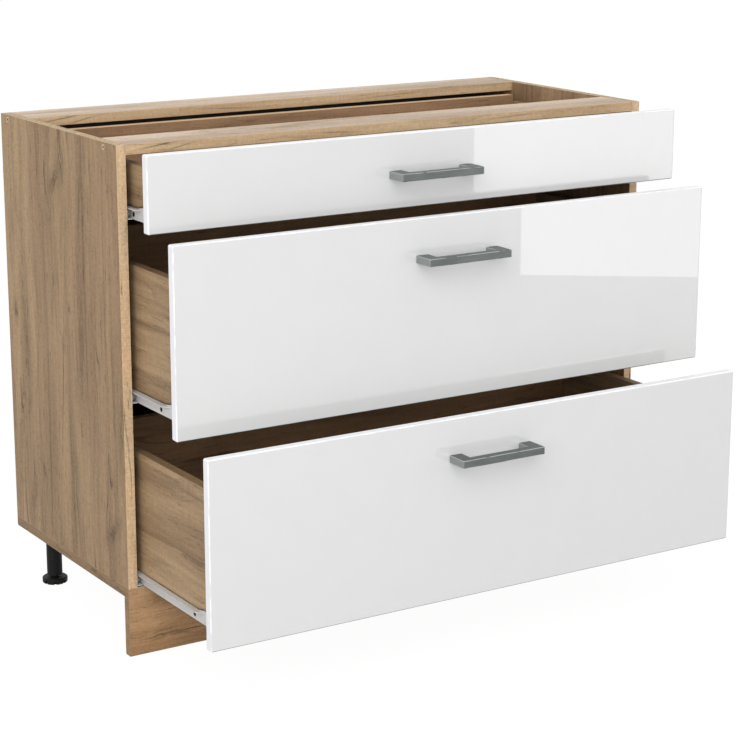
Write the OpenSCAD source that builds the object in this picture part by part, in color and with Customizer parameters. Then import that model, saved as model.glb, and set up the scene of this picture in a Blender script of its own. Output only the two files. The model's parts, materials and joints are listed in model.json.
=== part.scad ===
// Kitchen base cabinet with three drawers on roller runners, shown with its drawers partly open.
// Lengths are in millimetres. X runs along the width, Y from the front to the back and Z up.
// The origin lies on the floor, under the middle of the box that holds the whole cabinet.

/* [Carcass] */
// Outer width of the cabinet
cabinet_w = 1000; // [600:10:1200]
// Depth of the carcass with its back panel, without the fronts
carcass_d = 444; // [435:1:600]
// Height of the carcass above the legs
carcass_h = 720; // [700:10:800]
// Thickness of the chipboard panels
board_t = 16; // [15:1:19]
// Thickness of the fibreboard back panel
back_t = 3; // [3:0.5:5]
// How far the back panel stays inside the outline of the carcass
back_margin = 1; // [0:0.5:3]
// Depth of the two flat stretchers at the top
stretcher_d = 86; // [80:1:120]

/* [Fronts] */
// Thickness of the drawer fronts
front_t = 16; // [16:1:22]
// Gap from the outer side of the carcass to the end of a front
front_side_reveal = 2; // [0:0.5:4]
// Gap from the underside of the carcass to the lowest front
front_bottom_reveal = 1; // [0:0.5:3]
// Gap from the top of the carcass to the top front
front_top_reveal = 3; // [1:0.5:6]
// Gap between two fronts
front_gap = 2.5; // [2:0.5:4]
// Height of the top front, the two deep fronts share the rest
top_front_h = 119; // [110:1:160]
// Radius of the corners of a front
front_corner_r = 2; // [0.5:0.5:5]

/* [Drawers] */
// Distance from the carcass to the top front as the drawer stands open
top_open = 82; // [1:1:300]
// Distance from the carcass to the middle front
middle_open = 160; // [1:1:300]
// Distance from the carcass to the bottom front
bottom_open = 257; // [1:1:300]
// Length of the drawer sides behind the front
box_l = 410; // [380:1:425]
// Thickness of the drawer bottoms
bottom_t = 3; // [3:0.5:5]
// Height of the groove for the drawer bottom above the lower edge of the side
groove_up = 10; // [8:0.5:14]
// Depth of the groove in the sides and in the front
groove_depth = 6; // [4:0.5:8]
// Play of the drawer bottom in its groove
groove_play = 0.1; // [0.05:0.05:0.3]
// Space between the bottom panel and the drawer box above it
floor_clearance = 3; // [2.5:0.5:8]
// Height of the top drawer box above the lower edge of its front
top_lift = 8; // [6:1:14]
// Distance from the top of the top front down to its drawer sides
top_side_drop = 28; // [24:1:34]
// Distance from the top of a deep front down to its drawer sides
deep_side_drop = 63; // [40:1:90]
// How far the back board of a deep drawer stands above its sides
deep_back_rise = 17; // [0:1:30]
// Space between the stretchers and the back board of the top drawer
stretcher_clearance = 2; // [1:0.5:6]

/* [Runners] */
// Space between the carcass side and the drawer side
runner_gap = 12.5; // [12.5:0.5:14]
// Sheet thickness of the rails
gauge = 1.2; // [1:0.1:1.5]
// How much shorter the rails are than the drawer sides
rail_short = 10; // [5:1:20]
// Distance from the front edge of the carcass to the wall rail
rail_setback = 2; // [1:0.5:4]
// Radius of the roller at the front of the wall rail
front_roller_r = 7; // [6.5:0.1:7.2]
// Radius of the roller at the rear of the box rail
rear_roller_r = 6; // [5.5:0.1:6.5]
// Width of the rear rollers
roller_w = 5.4; // [5:0.1:6]
// Gap between a roller and the sheet that it runs on
roller_play = 0.3; // [0.3:0.05:0.5]
// Radial clearance of a roller on its axle
axle_play = 0.1; // [0.05:0.01:0.1]
// Width of the flange under the drawer side
rail_foot_w = 9; // [7:0.5:12]

/* [Handles] */
// Length of a handle
handle_l = 154; // [148:1:200]
// Height of a handle
handle_h = 12.4; // [10:0.2:16]
// Distance from the front to the outer face of the bar
handle_reach = 40; // [30:1:45]
// Depth of the bar
handle_bar_t = 15; // [8:0.5:18]
// Width of the two legs of a handle
handle_leg_w = 22; // [18:1:28]
// Distance between the two screws of a handle
handle_pitch = 128; // [128:1:130]
// Distance from the top of a front down to the middle of its handle
handle_drop = 64; // [40:1:70]
// Chamfer on the edges of a handle
handle_chamfer = 0.8; // [0.4:0.1:1.5]

/* [Legs] */
// Height of the legs and of the plinth board
leg_h = 97; // [90:1:150]
// Distance from the side of the carcass to the middle of a leg
leg_in_x = 44; // [40:1:80]
// Distance from the front of the carcass to the middle of a front leg
leg_in_front = 55; // [50:1:80]
// Distance from the back of the carcass to the middle of a rear leg
leg_in_rear = 54; // [45:1:90]
// Outer radius of the leg tube
tube_r = 13.3; // [12:0.1:15]
// Wall of the leg tube
tube_wall = 2.3; // [1.5:0.1:3]
// Length of the threaded end of the leg tube
thread_l = 18; // [12:1:24]
// Radius of the foot's spindle
spindle_r = 6.5; // [5:0.1:8]
// Length of the spindle inside the leg tube
spindle_l = 40; // [30:1:50]
// Radius of the foot
foot_r = 21.8; // [19:0.1:26]
// Height of the foot's disc
foot_h = 10; // [8:0.5:14]
// Bare length of the spindle between the foot and the tube
foot_gap = 4; // [2:0.5:10]
// Number of notches in the rim of the foot
foot_notches = 8; // [6:1:12]
// Radius of the socket's plate
socket_r = 32; // [28:1:36]
// Thickness of the socket's plate
socket_t = 5; // [4:0.5:7]
// Height of the socket's collar
collar_h = 15; // [12:1:20]
// Wall of the socket's collar
collar_wall = 3.5; // [2.5:0.5:5]
// Height of the plinth clip above the floor
clip_z = 48; // [40:1:60]
// Height of the plinth clip's ring
clip_h = 16; // [12:1:20]
// Wall of the plinth clip
clip_wall = 3; // [2:0.5:4]
// Clearance between the tube and what it is pushed into
push_fit = 0.1; // [0.05:0.05:0.2]

/* [Fixings] */
// Clearance around a screw, nail, bolt or dowel in its hole
hole_play = 0.1; // [0.05:0.05:0.2]
// Length of the carcass screws
carcass_screw_l = 50; // [45:1:60]
// Radius of the carcass dowels
dowel_r = 4; // [3:0.5:4]
// Length of the carcass dowels
dowel_l = 30; // [26:1:36]
// Number of nails along each side of the back panel
side_nails = 7; // [5:1:10]
// Number of nails along the top and along the bottom of the back panel
cross_nails = 5; // [3:1:8]
// Number of screws in each wall rail
rail_screws = 3; // [2:1:4]
// Radius of the cams that draw the drawer front to the sides
cam_r = 7.5; // [6:0.5:7.5]
// Distance from the front to the middle of a cam
cam_in = 34; // [30:1:40]

/* [Hidden] */
$fn = 48;
EPS = 0.5;
TOP = 0;
MIDDLE = 1;
BOTTOM = 2;
LEFT = -1;
RIGHT = 1;
FRONT = 0;
REAR = 1;

// Colours of the materials
OAK = "#a88c6b";
OAK_EDGE = "#c4a884";
DARK_BOARD = "#3a342e";
WHITE_GLOSS = "#ececec";
RAIL_WHITE = "#d6d4d2";
SATIN_GREY = "#6b716e";
BLACK_PLASTIC = "#1e1e1e";
PALE_PLASTIC = "#cfcdc8";
ZINC = "#9da1a3";
BEECH = "#c9a678";

// Levels and widths of the carcass
leg_x = cabinet_w / 2 - leg_in_x;
carcass_top = leg_h + carcass_h;
panel_d = carcass_d - back_t;
inner_w = cabinet_w - 2 * board_t;
floor_z = leg_h + board_t;
stretcher_z = carcass_top - board_t;

// Fronts, boxes and openings of the three drawers, from the top down
deep_front_h = (carcass_h - front_bottom_reveal - front_top_reveal - 2 * front_gap - top_front_h) / 2;
bottom_front_z = leg_h + front_bottom_reveal;
middle_front_z = bottom_front_z + deep_front_h + front_gap;
top_front_z = middle_front_z + deep_front_h + front_gap;
deep_lift = floor_z + floor_clearance - bottom_front_z;
front_h = [top_front_h, deep_front_h, deep_front_h];
front_z = [top_front_z, middle_front_z, bottom_front_z];
box_z = [top_front_z + top_lift, middle_front_z + deep_lift, bottom_front_z + deep_lift];
side_drop = [top_side_drop, deep_side_drop, deep_side_drop];
side_top = [for (n = [TOP:BOTTOM]) front_z[n] + front_h[n] - side_drop[n]];
back_top = [
    stretcher_z - stretcher_clearance,
    side_top[MIDDLE] + deep_back_rise,
    side_top[BOTTOM] + deep_back_rise,
];
opening = [top_open, middle_open, bottom_open];
box_w = inner_w - 2 * runner_gap;
box_inner_w = box_w - 2 * board_t;
groove_h = bottom_t + 2 * groove_play;
groove_end_gap = 1;

// Heights of the runner, measured from the lower edge of the drawer side
channel_floor = 0.4;
channel_headroom = 0.5;
rail_headroom = 1.4;
rear_axle_z = channel_floor + roller_play + rear_roller_r;
channel_roof = rear_axle_z + rear_roller_r + channel_headroom;
rail_top = channel_roof + gauge + rail_headroom + gauge;
front_axle_z = rail_top - gauge - roller_play - front_roller_r;

// Distances of the runner, measured from the inner face of the carcass side
low_head_t = 1.2;
low_head_r = 3.4;
head_clearance = 0.8;
roller_cover = 1;
rail_edge_gap = 1.1;
roller_x = gauge + low_head_t + head_clearance;
channel_w = roller_x + roller_w + roller_cover;
rail_edge_x = gauge + rail_edge_gap;
rail_web_x = runner_gap - gauge;

// Places along the rails
rail_l = box_l - rail_short;
front_axle_y = 13;
front_axle_r = 2.5;
rear_axle_in = 10;
rear_axle_r = 2.2;
axle_head_t = 0.6;
axle_head_r = 3.4;
channel_start_gap = 4;
channel_start = front_axle_y + front_roller_r + channel_start_gap;
rail_nose_l = 60;
rail_nose_slope = 12;
rail_nose_up = 3.5;
rail_hole_y = 84;
rail_hole_r = 2.7;
rail_hole_depth = 11;
rail_screw_in = 37;
front_foot_screw_y = 150;
rear_foot_screw_in = 60;
foot_screw_ys = [front_foot_screw_y, rail_l - rear_foot_screw_in];

// Screws, nails and cams
confirmat_head_r = 5;
confirmat_head_t = 3;
confirmat_neck_r = 3.5;
confirmat_neck_l = 13;
confirmat_thread_r = 2.5;
confirmat_key = 4.6;
cross_l = 2;
cross_t = 0.4;
small_screw_r = 1.9;
small_screw_l = 12;
foot_screw_l = 15;
foot_screw_r = 1.8;
foot_screw_head_t = 1;
nail_r = 0.8;
nail_l = 20;
nail_head_r = 2.2;
nail_head_t = 0.8;
nail_in = 35;
cam_depth = 12.5;
cam_slot_l = 5;
cam_slot_t = 0.7;
cam_slot_depth = 2;
cam_bolt_r = 3.5;
cam_bolt_thread_r = 2.5;
cam_bolt_bite = 10;
box_screw_l = 40;
box_screw_r = 2;
box_screw_head_r = 4;
box_screw_head_t = 2.4;
box_screw_key = 3.5;
handle_screw_r = 2;
handle_screw_bite = 9;
handle_hole_gap = 1;
handle_screw_head_r = 4.5;
handle_screw_head_t = 2.2;
front_screw_in = 45;
rear_screw_in = 30;
bottom_screw_in = 95;
dowel_bite = 11;
stretcher_dowel_in = 18;
floor_dowel_in = 150;
socket_peg_r = 4;
socket_peg_l = 10;
socket_peg_ring = 22;
socket_pegs = 3;
clip_peg_r = 2.5;
clip_peg_l = 8;
clip_plate_w = 44;
clip_plate_t = 3;
clip_peg_pitch = 30;
clip_mouth_w = 20;
clip_neck_w = 14;
notch_w = 4;
notch_depth = 4.5;
notch_h = 6;
foot_chamfer = 1.5;

// Where the cams and the rear screws sit above the lower edge of a drawer side
cam_low = [24, 45, 45];
cam_high_in = [22, 45, 45];
screw_low = [27, 40, 40];
screw_high_in = [24, 40, 40];

// The origin is under the middle of the whole box, from the handle of the widest open drawer to the back
reach = max(opening) + front_t + handle_reach;
frame_y = (reach - carcass_d) / 2;

// Moves a piece from the front edge of the carcass to the origin of the whole cabinet
module in_frame() {
    translate([0, frame_y, 0]) children();
}

// Moves a piece of drawer n from the back of its front to where the drawer stands open
module in_drawer(n) {
    in_frame() translate([0, -opening[n], 0]) children();
}

// Every handed piece is drawn on the left, at negative X, and mirrored for the right
module on_side(side) {
    if (side == LEFT) children();
    else mirror([1, 0, 0]) children();
}

module both_sides() {
    for (side = [LEFT, RIGHT]) on_side(side) children();
}

// A box between two corners
module block(low, high) {
    translate(low) cube(high - low);
}

// Turns the local Z axis to one of the other directions
module to_right() {
    rotate([0, 90, 0]) children();
}

module to_left() {
    rotate([0, -90, 0]) children();
}

module to_front() {
    rotate([90, 0, 0]) children();
}

module to_back() {
    rotate([-90, 0, 0]) children();
}

// A plain pin along Z, from z = 0 up
module pin(r, l) {
    cylinder(r = r, h = l);
}

// A countersunk carcass screw, its head at z = 0 and its thread running up
module confirmat(play = 0) {
    pin(confirmat_thread_r + play, carcass_screw_l + play);
    pin(confirmat_neck_r + play, confirmat_neck_l + play);
    cylinder(r1 = confirmat_head_r + play, r2 = confirmat_neck_r + play, h = confirmat_head_t);
}

module confirmat_screw() {
    difference() {
        confirmat();
        translate([0, 0, -EPS]) cylinder(d = confirmat_key, h = confirmat_head_t + EPS, $fn = 6);
    }
}

// A screw with a low round head below z = 0 and its thread running up
module low_screw(r, l, head_r, head_t) {
    pin(r, l);
    difference() {
        translate([0, 0, -head_t]) pin(head_r, head_t);
        for (turn = [0, 90]) rotate(turn)
            block([-cross_l, -cross_t, -head_t - EPS], [cross_l, cross_t, -head_t / 2]);
    }
}

// Places of the carcass screws and dowels, on the left
module at_carcass_screws() {
    for (y = [front_screw_in, carcass_d - rear_screw_in])
        translate([-cabinet_w / 2, y, carcass_top - board_t / 2]) to_right() children();
    for (y = [bottom_screw_in, carcass_d - bottom_screw_in])
        translate([-(cabinet_w - board_t) / 2, y, leg_h]) children();
}

module at_carcass_dowels() {
    for (y = [stretcher_dowel_in, panel_d - stretcher_d + stretcher_dowel_in])
        translate([-inner_w / 2 - dowel_bite, y, carcass_top - board_t / 2]) to_right() children();
    for (y = [floor_dowel_in, carcass_d - floor_dowel_in])
        translate([-(cabinet_w - board_t) / 2, y, floor_z - dowel_bite]) children();
}

// Holes for the screws and dowels on both sides of the carcass
module carcass_holes() {
    both_sides() {
        at_carcass_screws() {
            confirmat(hole_play);
            translate([0, 0, -EPS]) pin(confirmat_head_r + hole_play, EPS);
        }
        at_carcass_dowels() translate([0, 0, -hole_play]) pin(dowel_r + hole_play, dowel_l + 2 * hole_play);
    }
}

// Places of the nails, their heads flush with the back panel and their tips pointing to the front
module at_nails() {
    side_step = (carcass_h - board_t - 2 * nail_in) / (side_nails - 1);
    cross_run = inner_w - 2 * nail_in;
    cross_step = cross_run / (cross_nails - 1);
    for (k = [0:side_nails - 1], side = [LEFT, RIGHT])
        translate([side * (cabinet_w - board_t) / 2, carcass_d, floor_z + nail_in + side_step * k])
            to_front() children();
    for (k = [0:cross_nails - 1], z = [leg_h, stretcher_z])
        translate([cross_step * k - cross_run / 2, carcass_d, z + board_t / 2]) to_front() children();
}

module nail_holes() {
    at_nails() translate([0, 0, -EPS]) {
        pin(nail_r + hole_play, nail_l + hole_play + EPS);
        pin(nail_head_r + hole_play, nail_head_t + EPS);
    }
}

// Places of the screws of one wall rail, their tips in the carcass side
module at_rail_screws(n) {
    step = (rail_l - 2 * rail_screw_in) / (rail_screws - 1);
    for (k = [0:rail_screws - 1])
        translate([-inner_w / 2 + gauge, rail_setback + rail_screw_in + step * k, box_z[n] + rear_axle_z])
            to_left() children();
}

module side_panel(side) {
    color(OAK) in_frame() difference() {
        on_side(side) block([-cabinet_w / 2, 0, floor_z], [-inner_w / 2, panel_d, carcass_top]);
        carcass_holes();
        nail_holes();
        on_side(side) for (n = [TOP:BOTTOM]) at_rail_screws(n)
            pin(small_screw_r + hole_play, small_screw_l + hole_play);
    }
}

module side_panel_left() {
    side_panel(LEFT);
}

module side_panel_right() {
    side_panel(RIGHT);
}

module bottom_panel() {
    color(OAK) in_frame() difference() {
        block([-cabinet_w / 2, 0, leg_h], [cabinet_w / 2, panel_d, floor_z]);
        carcass_holes();
        nail_holes();
        at_legs() at_socket_pegs() pin(socket_peg_r + hole_play, socket_peg_l + hole_play);
    }
}

// A flat stretcher between the sides, its front edge at y
module stretcher(y) {
    color(OAK_EDGE) in_frame() difference() {
        block([-inner_w / 2, y, stretcher_z], [inner_w / 2, y + stretcher_d, carcass_top]);
        carcass_holes();
        nail_holes();
    }
}

module front_stretcher() {
    stretcher(0);
}

module rear_stretcher() {
    stretcher(panel_d - stretcher_d);
}

module back_panel() {
    half_w = cabinet_w / 2 - back_margin;
    color(DARK_BOARD) in_frame() difference() {
        block([-half_w, panel_d, leg_h + back_margin], [half_w, carcass_d, carcass_top - back_margin]);
        nail_holes();
    }
}

module plinth_board() {
    color(OAK) in_frame() difference() {
        block([-cabinet_w / 2, 0, 0], [cabinet_w / 2, board_t, leg_h]);
        at_clip_pegs() pin(clip_peg_r + hole_play, clip_peg_l + hole_play);
    }
}

// Places of the pegs of the plinth clips, pointing into the back of the plinth board
module at_clip_pegs() {
    for (side = [LEFT, RIGHT], step = [-0.5, 0.5])
        translate([side * leg_x + step * clip_peg_pitch, board_t, clip_z]) to_front() children();
}

// Each clip has a plate behind the plinth board, a neck and a ring that snaps on a front leg
module plinth_clips() {
    bore_r = tube_r + 2 * push_fit;
    ring_r = bore_r + clip_wall;
    mouth = clip_mouth_w / 2;
    plate_back = board_t + clip_plate_t;
    color(BLACK_PLASTIC) in_frame() {
        at_clip_pegs() pin(clip_peg_r, clip_peg_l);
        for (side = [LEFT, RIGHT]) translate([side * leg_x, 0, clip_z - clip_h / 2]) {
            block([-clip_plate_w / 2, board_t, 0], [clip_plate_w / 2, plate_back, clip_h]);
            difference() {
                union() {
                    translate([0, leg_in_front, 0]) pin(ring_r, clip_h);
                    block([-clip_neck_w / 2, plate_back, 0], [clip_neck_w / 2, leg_in_front, clip_h]);
                }
                translate([0, leg_in_front, -EPS]) pin(bore_r, clip_h + 2 * EPS);
                block([-mouth, leg_in_front, -EPS], [mouth, leg_in_front + 2 * ring_r, clip_h + EPS]);
            }
        }
    }
}

// The middle of one leg on the floor
function leg_at(side, end) =
    [side * leg_x, end == FRONT ? leg_in_front : carcass_d - leg_in_rear, 0];

module at_legs() {
    for (side = [LEFT, RIGHT], end = [FRONT, REAR]) translate(leg_at(side, end)) children();
}

module at_socket_pegs() {
    for (k = [0:socket_pegs - 1]) rotate(360 * k / socket_pegs)
        translate([socket_peg_ring, 0, leg_h]) children();
}

module leg_sockets() {
    tube_top = leg_h - socket_t;
    color(BLACK_PLASTIC) in_frame() at_legs() {
        at_socket_pegs() pin(socket_peg_r, socket_peg_l);
        translate([0, 0, tube_top]) pin(socket_r, socket_t);
        difference() {
            translate([0, 0, tube_top - collar_h]) pin(tube_r + push_fit + collar_wall, collar_h);
            translate([0, 0, tube_top - collar_h - EPS]) pin(tube_r + push_fit, collar_h + EPS);
        }
    }
}

// A tube that is open above its threaded end
module leg_tubes() {
    tube_z = foot_h + foot_gap;
    tube_top = leg_h - socket_t;
    color(BLACK_PLASTIC) in_frame() at_legs() difference() {
        translate([0, 0, tube_z]) pin(tube_r, tube_top - tube_z);
        translate([0, 0, tube_z - EPS]) pin(spindle_r + axle_play, tube_top);
        translate([0, 0, tube_z + thread_l]) pin(tube_r - tube_wall, tube_top);
    }
}

// A disc with notches for turning it and a spindle that runs up into the leg tube
module foot(side, end) {
    color(BLACK_PLASTIC) in_frame() translate(leg_at(side, end)) {
        difference() {
            rotate_extrude() polygon([
                [0, 0], [foot_r - foot_chamfer, 0], [foot_r, foot_chamfer],
                [foot_r, foot_h - foot_chamfer], [foot_r - foot_chamfer, foot_h], [0, foot_h],
            ]);
            for (k = [0:foot_notches - 1]) rotate(360 * (k + 0.5) / foot_notches)
                block([foot_r - notch_depth, -notch_w / 2, -EPS], [foot_r + EPS, notch_w / 2, notch_h]);
        }
        translate([0, 0, foot_h]) pin(spindle_r, foot_gap + spindle_l);
    }
}

module foot_front_left() {
    foot(LEFT, FRONT);
}

module foot_front_right() {
    foot(RIGHT, FRONT);
}

module foot_rear_left() {
    foot(LEFT, REAR);
}

module foot_rear_right() {
    foot(RIGHT, REAR);
}

module carcass_screws() {
    color(ZINC) in_frame() both_sides() at_carcass_screws() confirmat_screw();
}

module carcass_dowels() {
    color(BEECH) in_frame() both_sides() at_carcass_dowels() pin(dowel_r, dowel_l);
}

module back_nails() {
    color(ZINC) in_frame() at_nails() {
        pin(nail_r, nail_l);
        pin(nail_head_r, nail_head_t);
    }
}

module runner_screws() {
    color(ZINC) in_frame() both_sides() for (n = [TOP:BOTTOM]) at_rail_screws(n)
        low_screw(small_screw_r, small_screw_l, low_head_r, low_head_t);
}

// A channel on the carcass side that guides the rear roller, with the axle of the front roller
module wall_rail(n, side) {
    color(RAIL_WHITE) in_frame() on_side(side) difference() {
        translate([-inner_w / 2, rail_setback, box_z[n]]) {
            block([0, 0, channel_floor - gauge], [gauge, rail_l, channel_roof + gauge]);
            block([gauge, 0, channel_floor - gauge], [channel_w, rail_l, channel_floor]);
            block([gauge, channel_start, channel_roof], [channel_w, rail_l, channel_roof + gauge]);
            translate([gauge, front_axle_y, front_axle_z]) to_right() {
                pin(front_axle_r, channel_w - gauge);
                translate([0, 0, channel_w - gauge - axle_head_t]) pin(axle_head_r, axle_head_t);
            }
        }
        at_rail_screws(n) translate([0, 0, -EPS]) pin(small_screw_r + hole_play, gauge + 2 * EPS);
    }
}

module top_wall_rail_left() {
    wall_rail(TOP, LEFT);
}

module top_wall_rail_right() {
    wall_rail(TOP, RIGHT);
}

module middle_wall_rail_left() {
    wall_rail(MIDDLE, LEFT);
}

module middle_wall_rail_right() {
    wall_rail(MIDDLE, RIGHT);
}

module bottom_wall_rail_left() {
    wall_rail(BOTTOM, LEFT);
}

module bottom_wall_rail_right() {
    wall_rail(BOTTOM, RIGHT);
}

// A roller along X with its bore, from x = 0 to the right
module roller(r, w, axle_r) {
    to_right() difference() {
        pin(r, w);
        translate([0, 0, -EPS]) pin(axle_r + axle_play, w + 2 * EPS);
    }
}

module front_rollers(n) {
    start = gauge + roller_play;
    end = channel_w - axle_head_t - roller_play;
    color(PALE_PLASTIC) in_frame() both_sides()
        translate([-inner_w / 2 + start, rail_setback + front_axle_y, box_z[n] + front_axle_z])
            roller(front_roller_r, end - start, front_axle_r);
}

module top_front_rollers() {
    front_rollers(TOP);
}

module middle_front_rollers() {
    front_rollers(MIDDLE);
}

module bottom_front_rollers() {
    front_rollers(BOTTOM);
}

// Heights of the cams and of the rear screws of drawer n
function cam_zs(n) = [box_z[n] + cam_low[n], side_top[n] - cam_high_in[n]];
function screw_zs(n) = [box_z[n] + screw_low[n], side_top[n] - screw_high_in[n]];

// Places in a drawer, measured from the back of its front: cams, their bolts, rear screws and rail screws
module at_cams(n) {
    for (z = cam_zs(n)) translate([-box_inner_w / 2 - cam_depth, cam_in, z]) to_right() children();
}

module at_cam_bolts(n) {
    for (z = cam_zs(n)) translate([-(box_w - board_t) / 2, 0, z]) to_back() children();
}

module at_box_screws(n) {
    for (z = screw_zs(n)) translate([-box_w / 2, box_l - board_t / 2, z]) to_right() children();
}

module at_foot_screws(n) {
    for (y = foot_screw_ys) translate([-box_w / 2 + rail_foot_w / 2, y, box_z[n] - gauge]) children();
}

// The height of the underside of the drawer bottom, which lies in a groove with play around it
function bottom_z(n) = box_z[n] + groove_up;

module bottom_groove(n) {
    half_w = box_inner_w / 2 + groove_depth;
    low = bottom_z(n) - groove_play;
    block([-half_w, -groove_depth - groove_end_gap, low], [half_w, box_l + EPS, low + groove_h]);
}

// A front with rounded corners, a groove for the drawer bottom and holes for its bolts and screws
module drawer_front(n) {
    w = cabinet_w - 2 * front_side_reveal;
    h = front_h[n];
    r = front_corner_r;
    color(WHITE_GLOSS) in_drawer(n) difference() {
        translate([-w / 2, 0, front_z[n]]) to_front() linear_extrude(front_t) {
            translate([r, 0]) square([w - 2 * r, h]);
            translate([0, r]) square([w, h - 2 * r]);
            for (x = [r, w - r], z = [r, h - r]) translate([x, z]) circle(r);
        }
        bottom_groove(n);
        both_sides() at_cam_bolts(n) translate([0, 0, -cam_bolt_bite - hole_play])
            pin(cam_bolt_thread_r + hole_play, cam_bolt_bite + EPS);
        at_handle_screws(n) translate([0, 0, -EPS]) pin(handle_screw_r + hole_play, front_t + 2 * EPS);
    }
}

module drawer_side(n, side) {
    color(OAK) in_drawer(n) on_side(side) difference() {
        block([-box_w / 2, 0, box_z[n]], [-box_inner_w / 2, box_l, side_top[n]]);
        bottom_groove(n);
        at_cams(n) translate([0, 0, -hole_play]) pin(cam_r + hole_play, cam_depth + EPS);
        at_cam_bolts(n) translate([0, 0, -EPS]) pin(cam_bolt_r + hole_play, cam_in + EPS);
        at_box_screws(n) box_screw_hole();
        at_foot_screws(n) pin(foot_screw_r + hole_play, foot_screw_l + hole_play);
        translate([-box_w / 2 - EPS, rail_hole_y, box_z[n] + rear_axle_z]) to_right()
            pin(rail_hole_r, rail_hole_depth);
    }
}

module drawer_back(n) {
    low = bottom_z(n) + bottom_t;
    color(OAK) in_drawer(n) difference() {
        block([-box_inner_w / 2, box_l - board_t, low], [box_inner_w / 2, box_l, back_top[n]]);
        both_sides() at_box_screws(n) box_screw_hole();
    }
}

module drawer_bottom(n) {
    half_w = box_inner_w / 2 + groove_depth - groove_play;
    low = bottom_z(n);
    color(DARK_BOARD) in_drawer(n) block([-half_w, -groove_depth, low], [half_w, box_l, low + bottom_t]);
}

// A countersunk screw through a drawer side into the back board
module box_screw(play = 0) {
    pin(box_screw_r + play, box_screw_l + play);
    cylinder(r1 = box_screw_head_r + play, r2 = box_screw_r + play, h = box_screw_head_t);
}

module box_screw_hole() {
    box_screw(hole_play);
    translate([0, 0, -EPS]) pin(box_screw_head_r + hole_play, EPS);
}

// The outline of the box rail's web, seen from the side, with its raised nose behind the front
module rail_web_outline() {
    nose_top = rail_top + rail_nose_up;
    polygon([
        [0, -gauge], [rail_l, -gauge], [rail_l, rail_top], [rail_nose_l + rail_nose_slope, rail_top],
        [rail_nose_l - rail_nose_slope / 2, nose_top], [0, nose_top],
    ]);
}

// A web on the drawer side, a foot under it, a flange that runs on the front roller and the rear axle
module box_rail(n, side) {
    axle_foot = roller_w + roller_play;
    color(RAIL_WHITE) in_drawer(n) on_side(side) difference() {
        translate([-inner_w / 2, 0, box_z[n]]) {
            translate([rail_web_x, 0, 0]) rotate([90, 0, 90]) linear_extrude(gauge) rail_web_outline();
            block([runner_gap, 0, -gauge], [runner_gap + rail_foot_w, rail_l, 0]);
            translate([0, 0, rail_top - gauge]) linear_extrude(gauge) polygon([
                [rail_web_x, rail_nose_l - rail_nose_slope / 2], [rail_web_x, rail_l],
                [rail_edge_x, rail_l], [rail_edge_x, rail_nose_l + rail_nose_slope / 2],
            ]);
            translate([roller_x, rail_l - rear_axle_in, rear_axle_z]) to_right() {
                pin(rear_axle_r, rail_web_x - roller_x);
                translate([0, 0, axle_foot]) pin(axle_head_r, rail_web_x - roller_x - axle_foot);
            }
        }
        at_foot_screws(n) translate([0, 0, -EPS]) pin(foot_screw_r + hole_play, gauge + 2 * EPS);
        translate([-box_w / 2 - gauge - EPS, rail_hole_y, box_z[n] + rear_axle_z]) to_right()
            pin(rail_hole_r, gauge + 2 * EPS);
    }
}

module rear_rollers(n) {
    color(PALE_PLASTIC) in_drawer(n) both_sides()
        translate([-inner_w / 2 + roller_x, rail_l - rear_axle_in, box_z[n] + rear_axle_z])
            roller(rear_roller_r, roller_w, rear_axle_r);
}

// The middle height of the handle of drawer n
function handle_z(n) = front_z[n] + front_h[n] - handle_drop;

module at_handle_screws(n) {
    for (step = [-0.5, 0.5]) translate([step * handle_pitch, 0, handle_z(n)]) to_front() children();
}

// A bar on two legs, with a threaded hole in each leg
module handle(n) {
    c = handle_chamfer;
    inner = handle_l / 2 - handle_leg_w;
    color(SATIN_GREY) in_drawer(n) difference() {
        translate([0, -front_t, handle_z(n) - handle_h / 2]) linear_extrude(handle_h) polygon([
            [-handle_l / 2, 0], [-inner, 0], [-inner, handle_bar_t - handle_reach],
            [inner, handle_bar_t - handle_reach], [inner, 0], [handle_l / 2, 0],
            [handle_l / 2, c - handle_reach], [handle_l / 2 - c, -handle_reach],
            [c - handle_l / 2, -handle_reach], [-handle_l / 2, c - handle_reach],
        ]);
        at_handle_screws(n) pin(handle_screw_r + hole_play, front_t + handle_screw_bite + handle_hole_gap);
    }
}

module handle_screws(n) {
    color(ZINC) in_drawer(n) at_handle_screws(n)
        low_screw(handle_screw_r, front_t + handle_screw_bite, handle_screw_head_r, handle_screw_head_t);
}

// A cam with a cross slot in its face, in the inner side of the drawer side
module cam() {
    difference() {
        pin(cam_r, cam_depth);
        for (turn = [0, 90]) rotate(turn) translate([0, 0, cam_depth])
            block([-cam_slot_l, -cam_slot_t, -cam_slot_depth], [cam_slot_l, cam_slot_t, EPS]);
    }
}

// Cams with their bolts, rear screws and the screws of the box rails
module drawer_fixings(n) {
    color(ZINC) in_drawer(n) both_sides() {
        at_cams(n) cam();
        at_cam_bolts(n) {
            translate([0, 0, -cam_bolt_bite]) pin(cam_bolt_thread_r, cam_bolt_bite);
            pin(cam_bolt_r, cam_in - cam_r - hole_play);
        }
        at_box_screws(n) difference() {
            box_screw();
            translate([0, 0, -EPS]) cylinder(d = box_screw_key, h = box_screw_head_t, $fn = 6);
        }
        at_foot_screws(n) low_screw(foot_screw_r, foot_screw_l, low_head_r, foot_screw_head_t);
    }
}

module top_drawer_front() {
    drawer_front(TOP);
}

module top_drawer_side_left() {
    drawer_side(TOP, LEFT);
}

module top_drawer_side_right() {
    drawer_side(TOP, RIGHT);
}

module top_drawer_back() {
    drawer_back(TOP);
}

module top_drawer_bottom() {
    drawer_bottom(TOP);
}

module top_box_rail_left() {
    box_rail(TOP, LEFT);
}

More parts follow.
